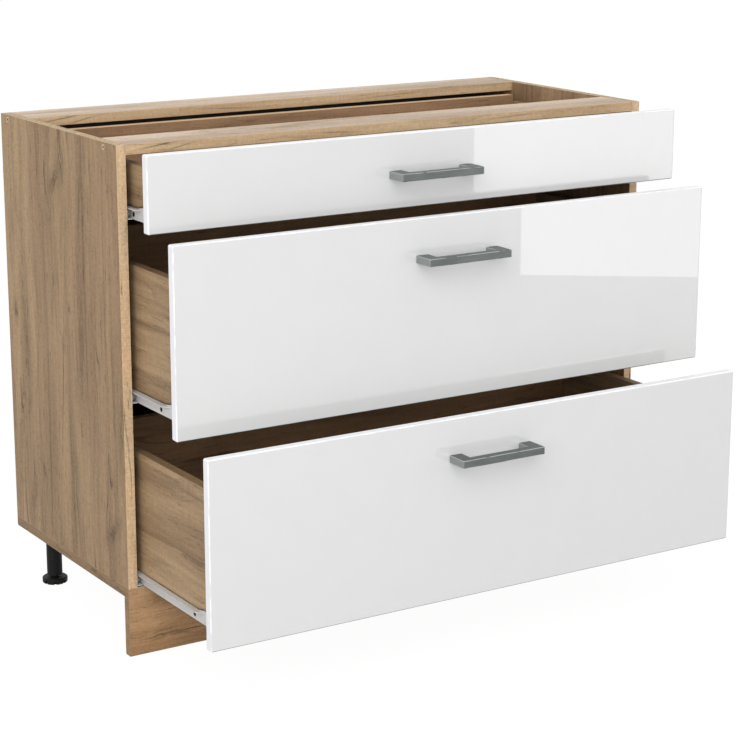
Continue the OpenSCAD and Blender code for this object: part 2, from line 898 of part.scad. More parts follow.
module top_box_rail_right() {
    box_rail(TOP, RIGHT);
}

module top_rear_rollers() {
    rear_rollers(TOP);
}

module top_handle() {
    handle(TOP);
}

module top_handle_screws() {
    handle_screws(TOP);
}

module top_drawer_fixings() {
    drawer_fixings(TOP);
}

module middle_drawer_front() {
    drawer_front(MIDDLE);
}

module middle_drawer_side_left() {
    drawer_side(MIDDLE, LEFT);
}

module middle_drawer_side_right() {
    drawer_side(MIDDLE, RIGHT);
}

module middle_drawer_back() {
    drawer_back(MIDDLE);
}

module middle_drawer_bottom() {
    drawer_bottom(MIDDLE);
}

module middle_box_rail_left() {
    box_rail(MIDDLE, LEFT);
}

module middle_box_rail_right() {
    box_rail(MIDDLE, RIGHT);
}

module middle_rear_rollers() {
    rear_rollers(MIDDLE);
}

module middle_handle() {
    handle(MIDDLE);
}

module middle_handle_screws() {
    handle_screws(MIDDLE);
}

module middle_drawer_fixings() {
    drawer_fixings(MIDDLE);
}

module bottom_drawer_front() {
    drawer_front(BOTTOM);
}

module bottom_drawer_side_left() {
    drawer_side(BOTTOM, LEFT);
}

module bottom_drawer_side_right() {
    drawer_side(BOTTOM, RIGHT);
}

module bottom_drawer_back() {
    drawer_back(BOTTOM);
}

module bottom_drawer_bottom() {
    drawer_bottom(BOTTOM);
}

module bottom_box_rail_left() {
    box_rail(BOTTOM, LEFT);
}

module bottom_box_rail_right() {
    box_rail(BOTTOM, RIGHT);
}

module bottom_rear_rollers() {
    rear_rollers(BOTTOM);
}

module bottom_handle() {
    handle(BOTTOM);
}

module bottom_handle_screws() {
    handle_screws(BOTTOM);
}

module bottom_drawer_fixings() {
    drawer_fixings(BOTTOM);
}

side_panel_left();
side_panel_right();
bottom_panel();
front_stretcher();
rear_stretcher();
back_panel();
plinth_board();
plinth_clips();
leg_sockets();
leg_tubes();
carcass_screws();
carcass_dowels();
back_nails();
runner_screws();
foot_front_left();
foot_front_right();
foot_rear_left();
foot_rear_right();
top_wall_rail_left();
top_wall_rail_right();
middle_wall_rail_left();
middle_wall_rail_right();
bottom_wall_rail_left();
bottom_wall_rail_right();
top_front_rollers();
middle_front_rollers();
bottom_front_rollers();
top_drawer_front();
top_drawer_side_left();
top_drawer_side_right();
top_drawer_back();
top_drawer_bottom();
top_box_rail_left();
top_box_rail_right();
top_rear_rollers();
top_handle();
top_handle_screws();
top_drawer_fixings();
middle_drawer_front();
middle_drawer_side_left();
middle_drawer_side_right();
middle_drawer_back();
middle_drawer_bottom();
middle_box_rail_left();
middle_box_rail_right();
middle_rear_rollers();
middle_handle();
middle_handle_screws();
middle_drawer_fixings();
bottom_drawer_front();
bottom_drawer_side_left();
bottom_drawer_side_right();
bottom_drawer_back();
bottom_drawer_bottom();
bottom_box_rail_left();
bottom_box_rail_right();
bottom_rear_rollers();
bottom_handle();
bottom_handle_screws();
bottom_drawer_fixings();
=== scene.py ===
"""Looks of a kitchen base cabinet with three drawers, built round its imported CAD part.

Lengths are in metres. X runs along the width, Y from the front to the back and Z up, as in the part.
"""

import json
import logging
import math
from abc import ABC, abstractmethod
from collections.abc import Callable, Iterable, Mapping, Sequence
from dataclasses import dataclass
from enum import Enum

import bmesh
import bpy
from mathutils import Euler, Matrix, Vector

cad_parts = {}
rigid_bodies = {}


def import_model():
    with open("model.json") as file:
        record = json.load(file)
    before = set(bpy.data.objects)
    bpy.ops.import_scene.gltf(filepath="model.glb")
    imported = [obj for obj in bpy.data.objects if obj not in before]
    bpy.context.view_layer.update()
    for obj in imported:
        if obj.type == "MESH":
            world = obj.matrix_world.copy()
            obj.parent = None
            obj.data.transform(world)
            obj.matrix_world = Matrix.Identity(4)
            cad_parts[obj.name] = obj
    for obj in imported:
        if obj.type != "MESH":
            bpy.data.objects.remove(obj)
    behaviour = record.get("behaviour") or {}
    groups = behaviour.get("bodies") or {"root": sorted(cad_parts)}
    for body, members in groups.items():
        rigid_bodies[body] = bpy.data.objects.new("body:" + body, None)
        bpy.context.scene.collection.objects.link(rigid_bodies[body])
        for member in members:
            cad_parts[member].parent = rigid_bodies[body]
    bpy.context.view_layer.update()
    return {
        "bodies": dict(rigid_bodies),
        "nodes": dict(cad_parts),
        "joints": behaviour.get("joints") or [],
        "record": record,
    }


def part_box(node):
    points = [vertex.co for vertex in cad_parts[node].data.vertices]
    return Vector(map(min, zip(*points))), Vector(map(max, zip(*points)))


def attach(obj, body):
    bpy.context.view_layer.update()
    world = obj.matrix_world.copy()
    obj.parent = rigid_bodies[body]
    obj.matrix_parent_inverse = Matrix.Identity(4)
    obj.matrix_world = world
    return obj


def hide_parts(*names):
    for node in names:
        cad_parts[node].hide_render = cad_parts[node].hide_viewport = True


log = logging.getLogger("cabinet")

MM = 0.001
WELD = 1e-5
FLAT_ANGLE = math.radians(0.5)
SHARP_ANGLE = math.radians(30)
SLAB_ANGLE = math.radians(60)
HANDS = ("left", "right")
LEVELS = ("top", "middle", "bottom")

Colour = tuple[float, float, float, float]
Triple = tuple[float, float, float]
Pair = tuple[float, float]
Socket = bpy.types.NodeSocket
Sockets = Mapping[str, Socket]
Shape = bmesh.types.BMesh
Edge = bmesh.types.BMEdge
Piece = bpy.types.Object


def paint(code: str) -> Colour:
    """Turns a colour as a screen shows it into the linear colour that a shader takes.

    Args:
        code: six hexadecimal digits after a hash sign.

    Returns:
        Red, green, blue and a full alpha.
    """
    parts = [int(code[start : start + 2], 16) / 255 for start in (1, 3, 5)]
    linear = [part / 12.92 if part <= 0.04045 else ((part + 0.055) / 1.055) ** 2.4 for part in parts]
    return (linear[0], linear[1], linear[2], 1.0)


def emptied(owner: bpy.types.Material | bpy.types.World) -> bpy.types.NodeTree:
    """Gives a material or a world an empty node tree.

    Args:
        owner: the material or the world.

    Returns:
        Its tree.
    """
    owner.use_nodes = True
    owner.node_tree.nodes.clear()
    return owner.node_tree


def linked(name: str, data: bpy.types.ID) -> Piece:
    """Puts a new object into the scene.

    Args:
        name: name of the object.
        data: its mesh, lamp or camera.

    Returns:
        The object.
    """
    made = bpy.data.objects.new(name, data)
    bpy.context.scene.collection.objects.link(made)
    return made


class Lay(Enum):
    """The direction of a board's grain, with the row-frame axes of its length, width and thickness."""

    ALONG_X = (0, 2, 1)
    ALONG_Y = (1, 2, 0)
    ALONG_Z = (2, 1, 0)


class Side(Enum):
    """The direction in which a face looks, as an axis and a sign."""

    LEFT = (0, -1)
    RIGHT = (0, 1)
    FRONT = (1, -1)
    REAR = (1, 1)
    DOWN = (2, -1)
    UP = (2, 1)

    @staticmethod
    def of(normal: Vector) -> "Side":
        """Finds the side that a normal points to most."""
        axis = max(range(3), key=lambda index: abs(normal[index]))
        return Side((axis, 1 if normal[axis] > 0 else -1))


ENDS = (Side.LEFT, Side.RIGHT)


class Effect(Enum):
    """The shader effects that more than one finish uses."""

    GRAIN = "Wood grain"
    KNOT = "Knot in the grain"
    CORE = "Chipboard core"
    WEAR = "Edge wear"
    DUST = "Settled dust"
    BRUSH = "Brushed lines"
    MOULD = "Moulded surface"


@dataclass(frozen=True)
class Cloud:
    """A cloudy noise, about 0.5 on average, and the range in which a mask made from it rises.

    The stretch says how many times it changes in a metre along each axis, and detail and roughness are the
    number and the weight of its finer octaves.
    """

    stretch: Triple
    detail: float = 2.0
    roughness: float = 0.5
    low: float = 0.3
    high: float = 0.7


class Graph:
    """A node tree that is being drawn up, with short calls for its usual nodes."""

    # Rays that see a surface straight, in a mirror and through glass
    SEEING = ("Camera", "Glossy", "Transmission")

    def __init__(self, tree: bpy.types.NodeTree) -> None:
        """Starts on an empty node tree."""
        self.tree = tree

    def feed(self, socket: Socket, value: object) -> None:
        """Links a socket to another one, or gives it a plain value.

        Args:
            socket: the input.
            value: an output or a plain value.
        """
        if isinstance(value, Socket):
            self.tree.links.new(value, socket)
        else:
            socket.default_value = value

    def node(self, kind: str, *values: object, **settings: object) -> bpy.types.Node:
        """Adds a node.

        Args:
            kind: Blender's type name of the node.
            values: what its first inputs get.
            settings: properties of the node.

        Returns:
            The new node.
        """
        made = self.tree.nodes.new(kind)
        for name, value in settings.items():
            setattr(made, name, value)
        for socket, value in zip(made.inputs, values):
            self.feed(socket, value)
        return made

    def fill(self, node: bpy.types.Node, **values: object) -> bpy.types.Node:
        """Feeds a node's inputs by name.

        Args:
            node: the node.
            values: what the inputs get, with an underscore for each space of a name.

        Returns:
            The same node.
        """
        for name, value in values.items():
            self.feed(node.inputs[name.replace("_", " ")], value)
        return node

    def math(self, operation: str, first: object, *others: object, clamp: bool = False) -> Socket:
        """Works on one value, or takes in one value after another.

        Args:
            operation: name of the math node's operation.
            first: the first value.
            others: the values that follow.
            clamp: keeps each result between 0 and 1.

        Returns:
            The result.
        """
        settings = {"operation": operation, "use_clamp": clamp}
        if not others:
            return self.node("ShaderNodeMath", first, **settings).outputs[0]
        for other in others:
            first = self.node("ShaderNodeMath", first, other, **settings).outputs[0]
        return first

    def add(self, *values: object) -> Socket:
        """Adds values up."""
        return self.math("ADD", *values)

    def less(self, first: object, second: object) -> Socket:
        """Takes the second value from the first."""
        return self.math("SUBTRACT", first, second)

    def times(self, *values: object) -> Socket:
        """Multiplies values."""
        return self.math("MULTIPLY", *values)

    def vector(self, operation: str, *values: object) -> Socket:
        """Works on vectors and returns a vector, or a number for a length or a dot product."""
        made = self.node("ShaderNodeVectorMath", *values, operation=operation)
        return made.outputs["Value" if operation in ("LENGTH", "DOT_PRODUCT") else "Vector"]

    def split(self, vector: Socket) -> list[Socket]:
        """Returns the three parts of a vector."""
        return list(self.node("ShaderNodeSeparateXYZ", vector).outputs)

    def join(self, *parts: object) -> Socket:
        """Returns a vector of three parts."""
        return self.node("ShaderNodeCombineXYZ", *parts).outputs[0]

    def noise(self, vector: Socket, cloud: Cloud) -> Socket:
        """Adds a cloudy noise.

        Args:
            vector: where the noise is read, in metres.
            cloud: its stretch and its octaves.

        Returns:
            The noise.
        """
        made = self.node("ShaderNodeTexNoise")
        place = self.vector("MULTIPLY", vector, cloud.stretch)
        self.fill(made, Vector=place, Scale=1.0, Detail=cloud.detail, Roughness=cloud.roughness)
        return made.outputs[0]

    def patches(self, vector: Socket, cloud: Cloud) -> Socket:
        """Masks the places where a noise is high."""
        return self.remap(self.noise(vector, cloud), cloud.low, cloud.high)

    def sway(self, vector: Socket, cloud: Cloud, width: object) -> Socket:
        """Returns a noise of some width that swings about zero."""
        return self.times(self.less(self.noise(vector, cloud), 0.5), width)

    def remap(self, value: object, low: float, high: float, start: float = 0.0, end: float = 1.0) -> Socket:
        """Eases a value from one range to another.

        Args:
            value: the value.
            low: where the result leaves start.
            high: where it reaches end.
            start: the result up to low.
            end: the result from high on.

        Returns:
            The eased value.
        """
        made = self.node("ShaderNodeMapRange", interpolation_type="SMOOTHSTEP")
        self.fill(made, Value=value, From_Min=low, From_Max=high, To_Min=start, To_Max=end)
        return made.outputs["Result"]

    def fade(self, value: object, low: float, high: float) -> Socket:
        """Eases a value down from 1 at low to 0 at high."""
        return self.remap(value, low, high, 1.0, 0.0)

    def mix(self, factor: object, first: object, second: object, blend: str = "MIX") -> Socket:
        """Blends two colours.

        Args:
            factor: share of the second colour.
            first: the colour below.
            second: the colour on top.
            blend: Blender's name of the way to blend.

        Returns:
            The colour.
        """
        made = self.node("ShaderNodeMix", data_type="RGBA", blend_type=blend)
        sockets = [socket for socket in made.inputs if socket.enabled]
        for socket, value in zip(sockets, (factor, first, second)):
            self.feed(socket, value)
        return next(socket for socket in made.outputs if socket.enabled)

    def shade(self, colour: Socket, light: Socket) -> Socket:
        """Makes a colour lighter or darker by a number."""
        return self.mix(1.0, colour, self.join(light, light, light), blend="MULTIPLY")

    def bump(self, height: Socket, depth: float) -> Socket:
        """Returns the normal of a surface whose relief is that many metres deep."""
        made = self.node("ShaderNodeBump")
        return self.fill(made, Strength=1.0, Distance=depth, Height=height).outputs["Normal"]

    def seen(self) -> Socket:
        """Masks the rays that meet a surface straight from the camera, in a mirror or through glass."""
        rays = self.node("ShaderNodeLightPath").outputs
        return self.math("MAXIMUM", *[rays[f"Is {kind} Ray"] for kind in self.SEEING])


Drawing = Callable[[Graph, Sockets], tuple[Socket, ...]]


class Effects:
    """Builds each shared shader group once and hands it out."""

    # Kinds of the named sockets. All others are plain numbers
    KINDS = {
        **dict.fromkeys(("Vector", "Normal", "Centre", "Size"), "NodeSocketVector"),
        **dict.fromkeys(("Color", "Light", "Dark", "Grey"), "NodeSocketColor"),
    }

    # Noises of the wood, along, across and through the board
    BENDS = Cloud((1.3, 4.0, 4.0))
    RIPPLES = Cloud((14.0, 30.0, 30.0), 3.0)
    STREAKS = (
        Cloud((1.3, 17.0, 17.0), 4.0, 0.6, 0.38, 0.62),
        Cloud((5.0, 120.0, 120.0), 4.0, 0.65, 0.34, 0.66),
    )
    TONE_SHARES: Triple = (0.35, 0.4, 0.25)
    SMUDGES = Cloud((3.2, 13.0, 13.0), 6.0, 0.68, 0.53, 0.7)
    SAW_SWAY = Cloud((9.0, 60.0, 60.0))
    SAW_PATCHES = Cloud((16.0, 70.0, 70.0), low=0.4, high=0.66)
    VEINS = Cloud((1.7, 42.0, 42.0), 3.0)
    VEIN_PATCHES = Cloud((3.4, 34.0, 34.0), low=0.44, high=0.64)
    CRACKS = Cloud((1.4, 17.0, 17.0))
    CRACK_PATCHES = Cloud((2.8, 9.0, 9.0), low=0.56, high=0.66)
    SPECKS = Cloud((190.0, 270.0, 270.0), 3.0, 0.72)
    STROKES = Cloud((330.0, 48.0, 48.0))
    DASHES = Cloud((24.0, 210.0, 210.0), 3.0, 0.6, 0.58, 0.72)
    TORN = Cloud((36.0, 260.0, 260.0), 4.0, 0.65)
    ACROSS: Triple = (0.0, 1.0, 1.0)
    STRIPS_PER_METRE = 15.0
    SAW_LINES = 1050.0
    SAW_SWING = 14.0
    BEND_WIDTH = 0.05
    VEIN_WIDTH = 0.055
    CRACK_WIDTH = 0.012

    # Chips, rubbing, dust, brushing and mould texture
    CHIPS: Triple = (500.0, 500.0, 800.0)
    VOIDS = Cloud((520.0, 520.0, 700.0), low=0.62, high=0.72)
    VOID_COLOUR = "#4a3826"
    RUBBED = Cloud((45.0, 45.0, 45.0), 4.0, low=0.35, high=0.75)
    SETTLED = Cloud((14.0, 14.0, 14.0), 5.0, 0.7, 0.3, 0.8)
    BRUSHING = (Cloud((24.0, 3600.0, 3600.0), 2.0, 0.6), Cloud((30.0, 60.0, 60.0), 3.0))
    MOULD_GRAIN = Cloud((1.0, 1.0, 1.0))
    MOULD_CLOUDS = Cloud((18.0, 18.0, 18.0), 3.0)

    def __init__(self) -> None:
        """Starts with no group built."""
        rubbing = ("Vector", "Normal", "Amount")
        chips = ("Vector", "Light", "Dark")
        grain = (*chips, "Grey", "Waviness", "Ripples", "Veins", "Cracks", "Specks", "Smudges")
        knot = ("Vector", "Centre", "Size", "Tilt", "Bend", "Raggedness")
        self._made: dict[Effect, bpy.types.NodeTree] = {}
        self._plans: dict[Effect, tuple[Drawing, tuple[str, ...], tuple[str, ...]]] = {
            Effect.GRAIN: (self._grain, grain, ("Color", "Roughness", "Height")),
            Effect.KNOT: (self._knot, knot, ("Vector", "Mask")),
            Effect.CORE: (self._core, chips, ("Color", "Height")),
            Effect.WEAR: (self._wear, rubbing, ("Mask",)),
            Effect.DUST: (self._dust, rubbing, ("Mask",)),
            Effect.BRUSH: (self._brush, ("Vector",), ("Tone", "Height")),
            Effect.MOULD: (self._mould, ("Vector", "Fineness"), ("Tone", "Height")),
        }

    def tree(self, effect: Effect) -> bpy.types.NodeTree:
        """Hands out the group of an effect, and builds it at its first use.

        Args:
            effect: the effect, whose value names the group.

        Returns:
            The group's tree.
        """
        if effect not in self._made:
            draw, inputs, outputs = self._plans[effect]
            tree = bpy.data.node_groups.new(effect.value, "ShaderNodeTree")
            for way, names in (("INPUT", inputs), ("OUTPUT", outputs)):
                for name in names:
                    kind = self.KINDS.get(name, "NodeSocketFloat")
                    tree.interface.new_socket(name=name, in_out=way, socket_type=kind)
            graph = Graph(tree)
            given = graph.node("NodeGroupInput").outputs
            graph.node("NodeGroupOutput", *draw(graph, given))
            self._made[effect] = tree
        return self._made[effect]

    def _grain(self, graph: Graph, given: Sockets) -> tuple[Socket, ...]:
        """Draws rustic oak: strips of several tones, streaks, veins, cracks, smudges and fine specks.

        Args:
            graph: the group's tree.
            given: the group's inputs.

        Returns:
            The colour, the roughness and the height.
        """
        # The fibres wander sideways, in long bends and in short ripples
        long_bend = graph.sway(given["Vector"], self.BENDS, self.BEND_WIDTH)
        swing = graph.add(long_bend, graph.sway(given["Vector"], self.RIPPLES, given["Waviness"]))
        bent = graph.vector("ADD", given["Vector"], graph.join(0.0, swing, swing))
        across = graph.vector("DOT_PRODUCT", bent, self.ACROSS)

        # Strips of the décor, each with its own tone, and streaks of several widths in them
        cells = graph.node("ShaderNodeTexVoronoi", voronoi_dimensions="1D")
        graph.fill(cells, W=graph.times(across, self.STRIPS_PER_METRE), Scale=1.0)
        streaks = [graph.patches(bent, cloud) for cloud in self.STREAKS]
        tones = zip((graph.split(cells.outputs["Color"])[0], *streaks), self.TONE_SHARES)
        tone = graph.add(*[graph.times(part, share) for part, share in tones])
        colour = graph.mix(tone, given["Light"], given["Dark"])
        smudge = graph.times(graph.patches(bent, self.SMUDGES), given["Smudges"])
        colour = graph.mix(smudge, colour, given["Grey"])

        # Close dark lines that come and go, as on wood cut with a saw
        sway = graph.times(graph.noise(bent, self.SAW_SWAY), self.SAW_SWING)
        lines = graph.math("SINE", graph.add(graph.times(across, self.SAW_LINES), sway))
        coming = graph.patches(bent, self.SAW_PATCHES)
        ridge = graph.times(graph.remap(lines, 0.1, 1.0), coming, given["Ripples"])

        # Long veins, a few sharp cracks, specks, and short dashes along the fibres
        veins = self._threads(graph, bent, self.VEINS, self.VEIN_WIDTH, self.VEIN_PATCHES)
        cracks = self._threads(graph, bent, self.CRACKS, self.CRACK_WIDTH, self.CRACK_PATCHES)
        specks = graph.noise(bent, self.SPECKS)
        fine = graph.add(graph.less(specks, 0.5), graph.times(graph.noise(bent, self.STROKES), 0.4))
        dashes = graph.patches(bent, self.DASHES)
        dark = graph.add(
            ridge,
            graph.times(veins, given["Veins"]),
            graph.times(cracks, given["Cracks"]),
            graph.times(dashes, graph.times(given["Specks"], 0.7)),
            graph.times(graph.less(fine, 0.2), given["Specks"]),
        )
        height = graph.less(graph.times(specks, 0.5), graph.add(veins, cracks, graph.times(dashes, 0.6)))
        return graph.shade(colour, graph.less(1.0, dark)), graph.remap(specks, 0.3, 0.7, 0.46, 0.62), height

    @staticmethod
    def _threads(graph: Graph, vector: Socket, cloud: Cloud, width: float, places: Cloud) -> Socket:
        """Masks the thin lines where a noise crosses its middle value, in patches of another noise."""
        away = graph.math("ABSOLUTE", graph.less(graph.noise(vector, cloud), 0.5))
        return graph.times(graph.fade(away, 0.0, width), graph.patches(vector, places))

    def _knot(self, graph: Graph, given: Sockets) -> tuple[Socket, ...]:
        """Draws one knot, crack or line of painted shade.

        Args:
            graph: the group's tree.
            given: the group's inputs.

        Returns:
            The grain's place, bent round the knot, and a ragged mask of its heart.
        """
        along, across, _ = graph.split(graph.vector("SUBTRACT", given["Vector"], given["Centre"]))
        lean = graph.less(across, graph.times(along, given["Tilt"]))
        place = graph.join(along, lean, 0.0)
        distance = graph.vector("LENGTH", graph.vector("DIVIDE", place, given["Size"]))
        falloff = graph.math("DIVIDE", 1.0, graph.add(1.0, graph.math("POWER", distance, 2.0)))
        push = graph.times(lean, falloff, given["Bend"])
        moved = graph.vector("SUBTRACT", given["Vector"], graph.join(0.0, push, 0.0))
        torn = graph.add(distance, graph.sway(place, self.TORN, given["Raggedness"]))
        heart = graph.times(graph.fade(torn, 0.15, 1.0), graph.fade(distance, 1.0, 1.8))
        halo = graph.remap(distance, 0.2, 2.2, 0.3, 0.0)
        return moved, graph.math("MAXIMUM", halo, heart)

    def _core(self, graph: Graph, given: Sockets) -> tuple[Socket, ...]:
        """Draws the cut edge of chipboard: pressed chips of several tones with small dark voids.

        Args:
            graph: the group's tree.
            given: the group's inputs.

        Returns:
            The colour and the height.
        """
        chips = graph.node("ShaderNodeTexVoronoi")
        graph.fill(chips, Vector=graph.vector("MULTIPLY", given["Vector"], self.CHIPS), Scale=1.0)
        tone = graph.math("FRACT", graph.times(graph.split(chips.outputs["Color"])[0], 3.7))
        voids = graph.patches(given["Vector"], self.VOIDS)
        colour = graph.mix(tone, given["Light"], given["Dark"])
        colour = graph.mix(graph.times(voids, 0.55), colour, paint(self.VOID_COLOUR))
        return colour, graph.less(graph.times(tone, 0.4), voids)

    def _wear(self, graph: Graph, given: Sockets) -> tuple[Socket, ...]:
        """Draws a mask of the rounded edges, broken up where hands and feet have rubbed them. It serves for
        wear, and for painted highlights on gloss and metal.

        Args:
            graph: the group's tree.
            given: the group's inputs.

        Returns:
            The mask.
        """
        parts = [graph.math("ABSOLUTE", part) for part in graph.split(given["Normal"])]
        edge = graph.fade(graph.math("MAXIMUM", *parts), 0.8, 0.97)
        rubbed = graph.patches(given["Vector"], self.RUBBED)
        return (graph.math("MULTIPLY", edge, rubbed, given["Amount"], clamp=True),)

    def _dust(self, graph: Graph, given: Sockets) -> tuple[Socket, ...]:
        """Draws a mask of thin dust on the faces that look up."""
        up = graph.remap(graph.split(given["Normal"])[2], 0.5, 1.0)
        return (graph.times(up, graph.patches(given["Vector"], self.SETTLED), given["Amount"]),)

    def _brush(self, graph: Graph, given: Sockets) -> tuple[Socket, ...]:
        """Draws the tone and the height of the long fine lines of brushed metal."""
        lines, clouds = [graph.noise(given["Vector"], cloud) for cloud in self.BRUSHING]
        return graph.add(graph.times(lines, 0.6), graph.times(clouds, 0.4)), lines

    def _mould(self, graph: Graph, given: Sockets) -> tuple[Socket, ...]:
        """Draws the tone and the height of the fine texture of moulded plastic or powder paint."""
        scaled = graph.vector("MULTIPLY", given["Vector"], graph.join(*[given["Fineness"]] * 3))
        return graph.noise(given["Vector"], self.MOULD_CLOUDS), graph.noise(scaled, self.MOULD_GRAIN)


class Sheet(Graph):
    """The node tree of a material, with the place and the normal of its surface and the shared effects."""

    def __init__(self, tree: bpy.types.NodeTree, effects: Effects) -> None:
        """Starts on an empty node tree.

        Args:
            tree: the material's tree.
            effects: the shared shader groups.
        """
        super().__init__(tree)
        spot = self.node("ShaderNodeTexCoord").outputs
        self.effects = effects
        self.place = spot["Object"]
        self.normal = spot["Normal"]

    def along(self, lay: Lay) -> Socket:
        """Returns the place along, across and through a board."""
        parts = self.split(self.place)
        return self.join(*[parts[axis] for axis in lay.value])

    def effect(self, effect: Effect, **values: object) -> Sockets:
        """Places the shader group of an effect and returns its outputs by name."""
        group = self.node("ShaderNodeGroup", node_tree=self.effects.tree(effect))
        return self.fill(group, **values).outputs

    def coat(self, effect: Effect, amount: object, below: object, tint: str) -> Socket:
        """Lays a tint over a colour where the surface is worn or dusty, or as a painted highlight on rounded
        edges.
        """
        made = self.effect(effect, Vector=self.place, Normal=self.normal, Amount=amount)
        return self.mix(made["Mask"], below, paint(tint))

    def uneven(self, tone: Socket, smooth: float, spread: float) -> Socket:
        """Returns a roughness that follows a tone."""
        return self.remap(tone, 0.3, 0.7, smooth, smooth + spread)

    def surface(self, **values: object) -> None:
        """Ends the material with a Principled BSDF, whose inputs get the values."""
        shader = self.fill(self.node("ShaderNodeBsdfPrincipled"), **values)
        self.node("ShaderNodeOutputMaterial", shader.outputs[0])


@dataclass(frozen=True)
class Finish(ABC):
    """The look of a surface. Each kind of finish draws its own nodes."""

    name: str

    @abstractmethod
    def draw(self, sheet: Sheet) -> None:
        """Draws the material's nodes.

        Args:
            sheet: the material's empty node tree.
        """


@dataclass(frozen=True)
class Knot:
    """A knot or a crack in the grain, or a line of painted shade in a gap, seen along and across the board.
    """

    along: float
    across: float
    length: float
    width: float
    depth: float = 0.8
    tilt: float = 0.0
    bend: float = 1.0
    ragged: float = 4.0


def crack(along: float, across: float, length: float, width: float, depth: float, tilt: float = 0.0) -> Knot:
    """Makes a thin crack that leaves the grain straight."""
    return Knot(along, across, length, width, depth, tilt, bend=0.0, ragged=2.0)


def box_gap_shades(front: float, seam: float, joint: Pair, ledge: Pair) -> tuple[Knot, ...]:
    """Paints shade into the gaps on a drawer side, as dark lines behind the front and over the rail.

    Args:
        front: where the side meets the front.
        seam: height of the gap over the rail's nose.
        joint: middle and half height of the gap behind the front.
        ledge: middle and half length of the gap over the rail's flange.

    Returns:
        The gaps, from the front to the back.
    """
    # The rail's nose lies 21.5 mm behind the front, and its slope leads down to the flange
    height = 0.0022
    return (
        Knot(front, joint[0], 0.0045, joint[1], 0.8, 0.0, 0.0, 0.8),
        Knot(front + 0.0215, seam, 0.050, height, 0.85, 0.0, 0.0, 0.8),
        Knot(front + 0.0620, seam - 0.0018, 0.016, height, 0.85, -0.29, 0.0, 0.8),
        Knot(ledge[0], seam - 0.0035, ledge[1], height, 0.85, 0.0, 0.0, 0.8),
    )


@dataclass(frozen=True)
class Oak(Finish):
    """Printed oak paper on chipboard, or its edging."""

    lay: Lay
    seat: Triple = (0.0, 0.0, 0.0)
    light: str = "#bfa07c"
    dark: str = "#80634a"
    grey: str = "#84704f"
    knot_and_shade_colour: str = "#5b4a2e"
    rubbed_colour: str = "#c9b08b"
    dust_colour: str = "#cdc6ba"
    waviness: float = 0.004
    ripples: float = 0.0
    veins: float = 0.16
    cracks: float = 0.4
    specks: float = 0.5
    smudges: float = 0.6
    relief: float = 0.00005
    shine: float = 0.2
    wear: float = 0.12
    dust: float = 0.03
    knots: tuple[Knot, ...] = ()

    def draw(self, sheet: Sheet) -> None:
        """Draws the grain, its knots and cracks, any lines of painted shade in gaps, the rubbed edges and a
        little dust.

        Args:
            sheet: the material's empty node tree.
        """
        vector = sheet.along(self.lay)
        masks = []
        for knot in self.knots:
            made = sheet.effect(
                Effect.KNOT,
                Vector=vector,
                Centre=(knot.along, knot.across, 0.0),
                Size=(knot.length, knot.width, 1.0),
                Tilt=knot.tilt,
                Bend=knot.bend,
                Raggedness=knot.ragged,
            )
            vector = made["Vector"]
            masks.append(sheet.times(made["Mask"], knot.depth))
        grain = sheet.effect(
            Effect.GRAIN,
            Vector=sheet.vector("ADD", vector, self.seat),
            Light=paint(self.light),
            Dark=paint(self.dark),
            Grey=paint(self.grey),
            Waviness=self.waviness,
            Ripples=self.ripples,
            Veins=self.veins,
            Cracks=self.cracks,
            Specks=self.specks,
            Smudges=self.smudges,
        )
        colour = grain["Color"]
        for mask in masks:
            colour = sheet.mix(mask, colour, paint(self.knot_and_shade_colour))
        colour = sheet.coat(Effect.WEAR, self.wear, colour, self.rubbed_colour)
        sheet.surface(
            Base_Color=sheet.coat(Effect.DUST, self.dust, colour, self.dust_colour),
            Roughness=grain["Roughness"],
            Specular_IOR_Level=self.shine,
            Normal=sheet.bump(grain["Height"], self.relief),
        )


@dataclass(frozen=True)
class Core(Finish):
    """The raw cut edge of chipboard."""

    light: str = "#dcc49c"
    dark: str = "#967a59"
    relief: float = 0.00015

    def draw(self, sheet: Sheet) -> None:
        """Draws pressed chips of several tones.

        Args:
            sheet: the material's empty node tree.
        """
        core = sheet.effect(Effect.CORE, Vector=sheet.place, Light=paint(self.light), Dark=paint(self.dark))
        sheet.surface(
            Base_Color=core["Color"],
            Roughness=sheet.remap(core["Height"], -1.0, 0.4, 0.9, 0.7),
            Normal=sheet.bump(core["Height"], self.relief),
        )


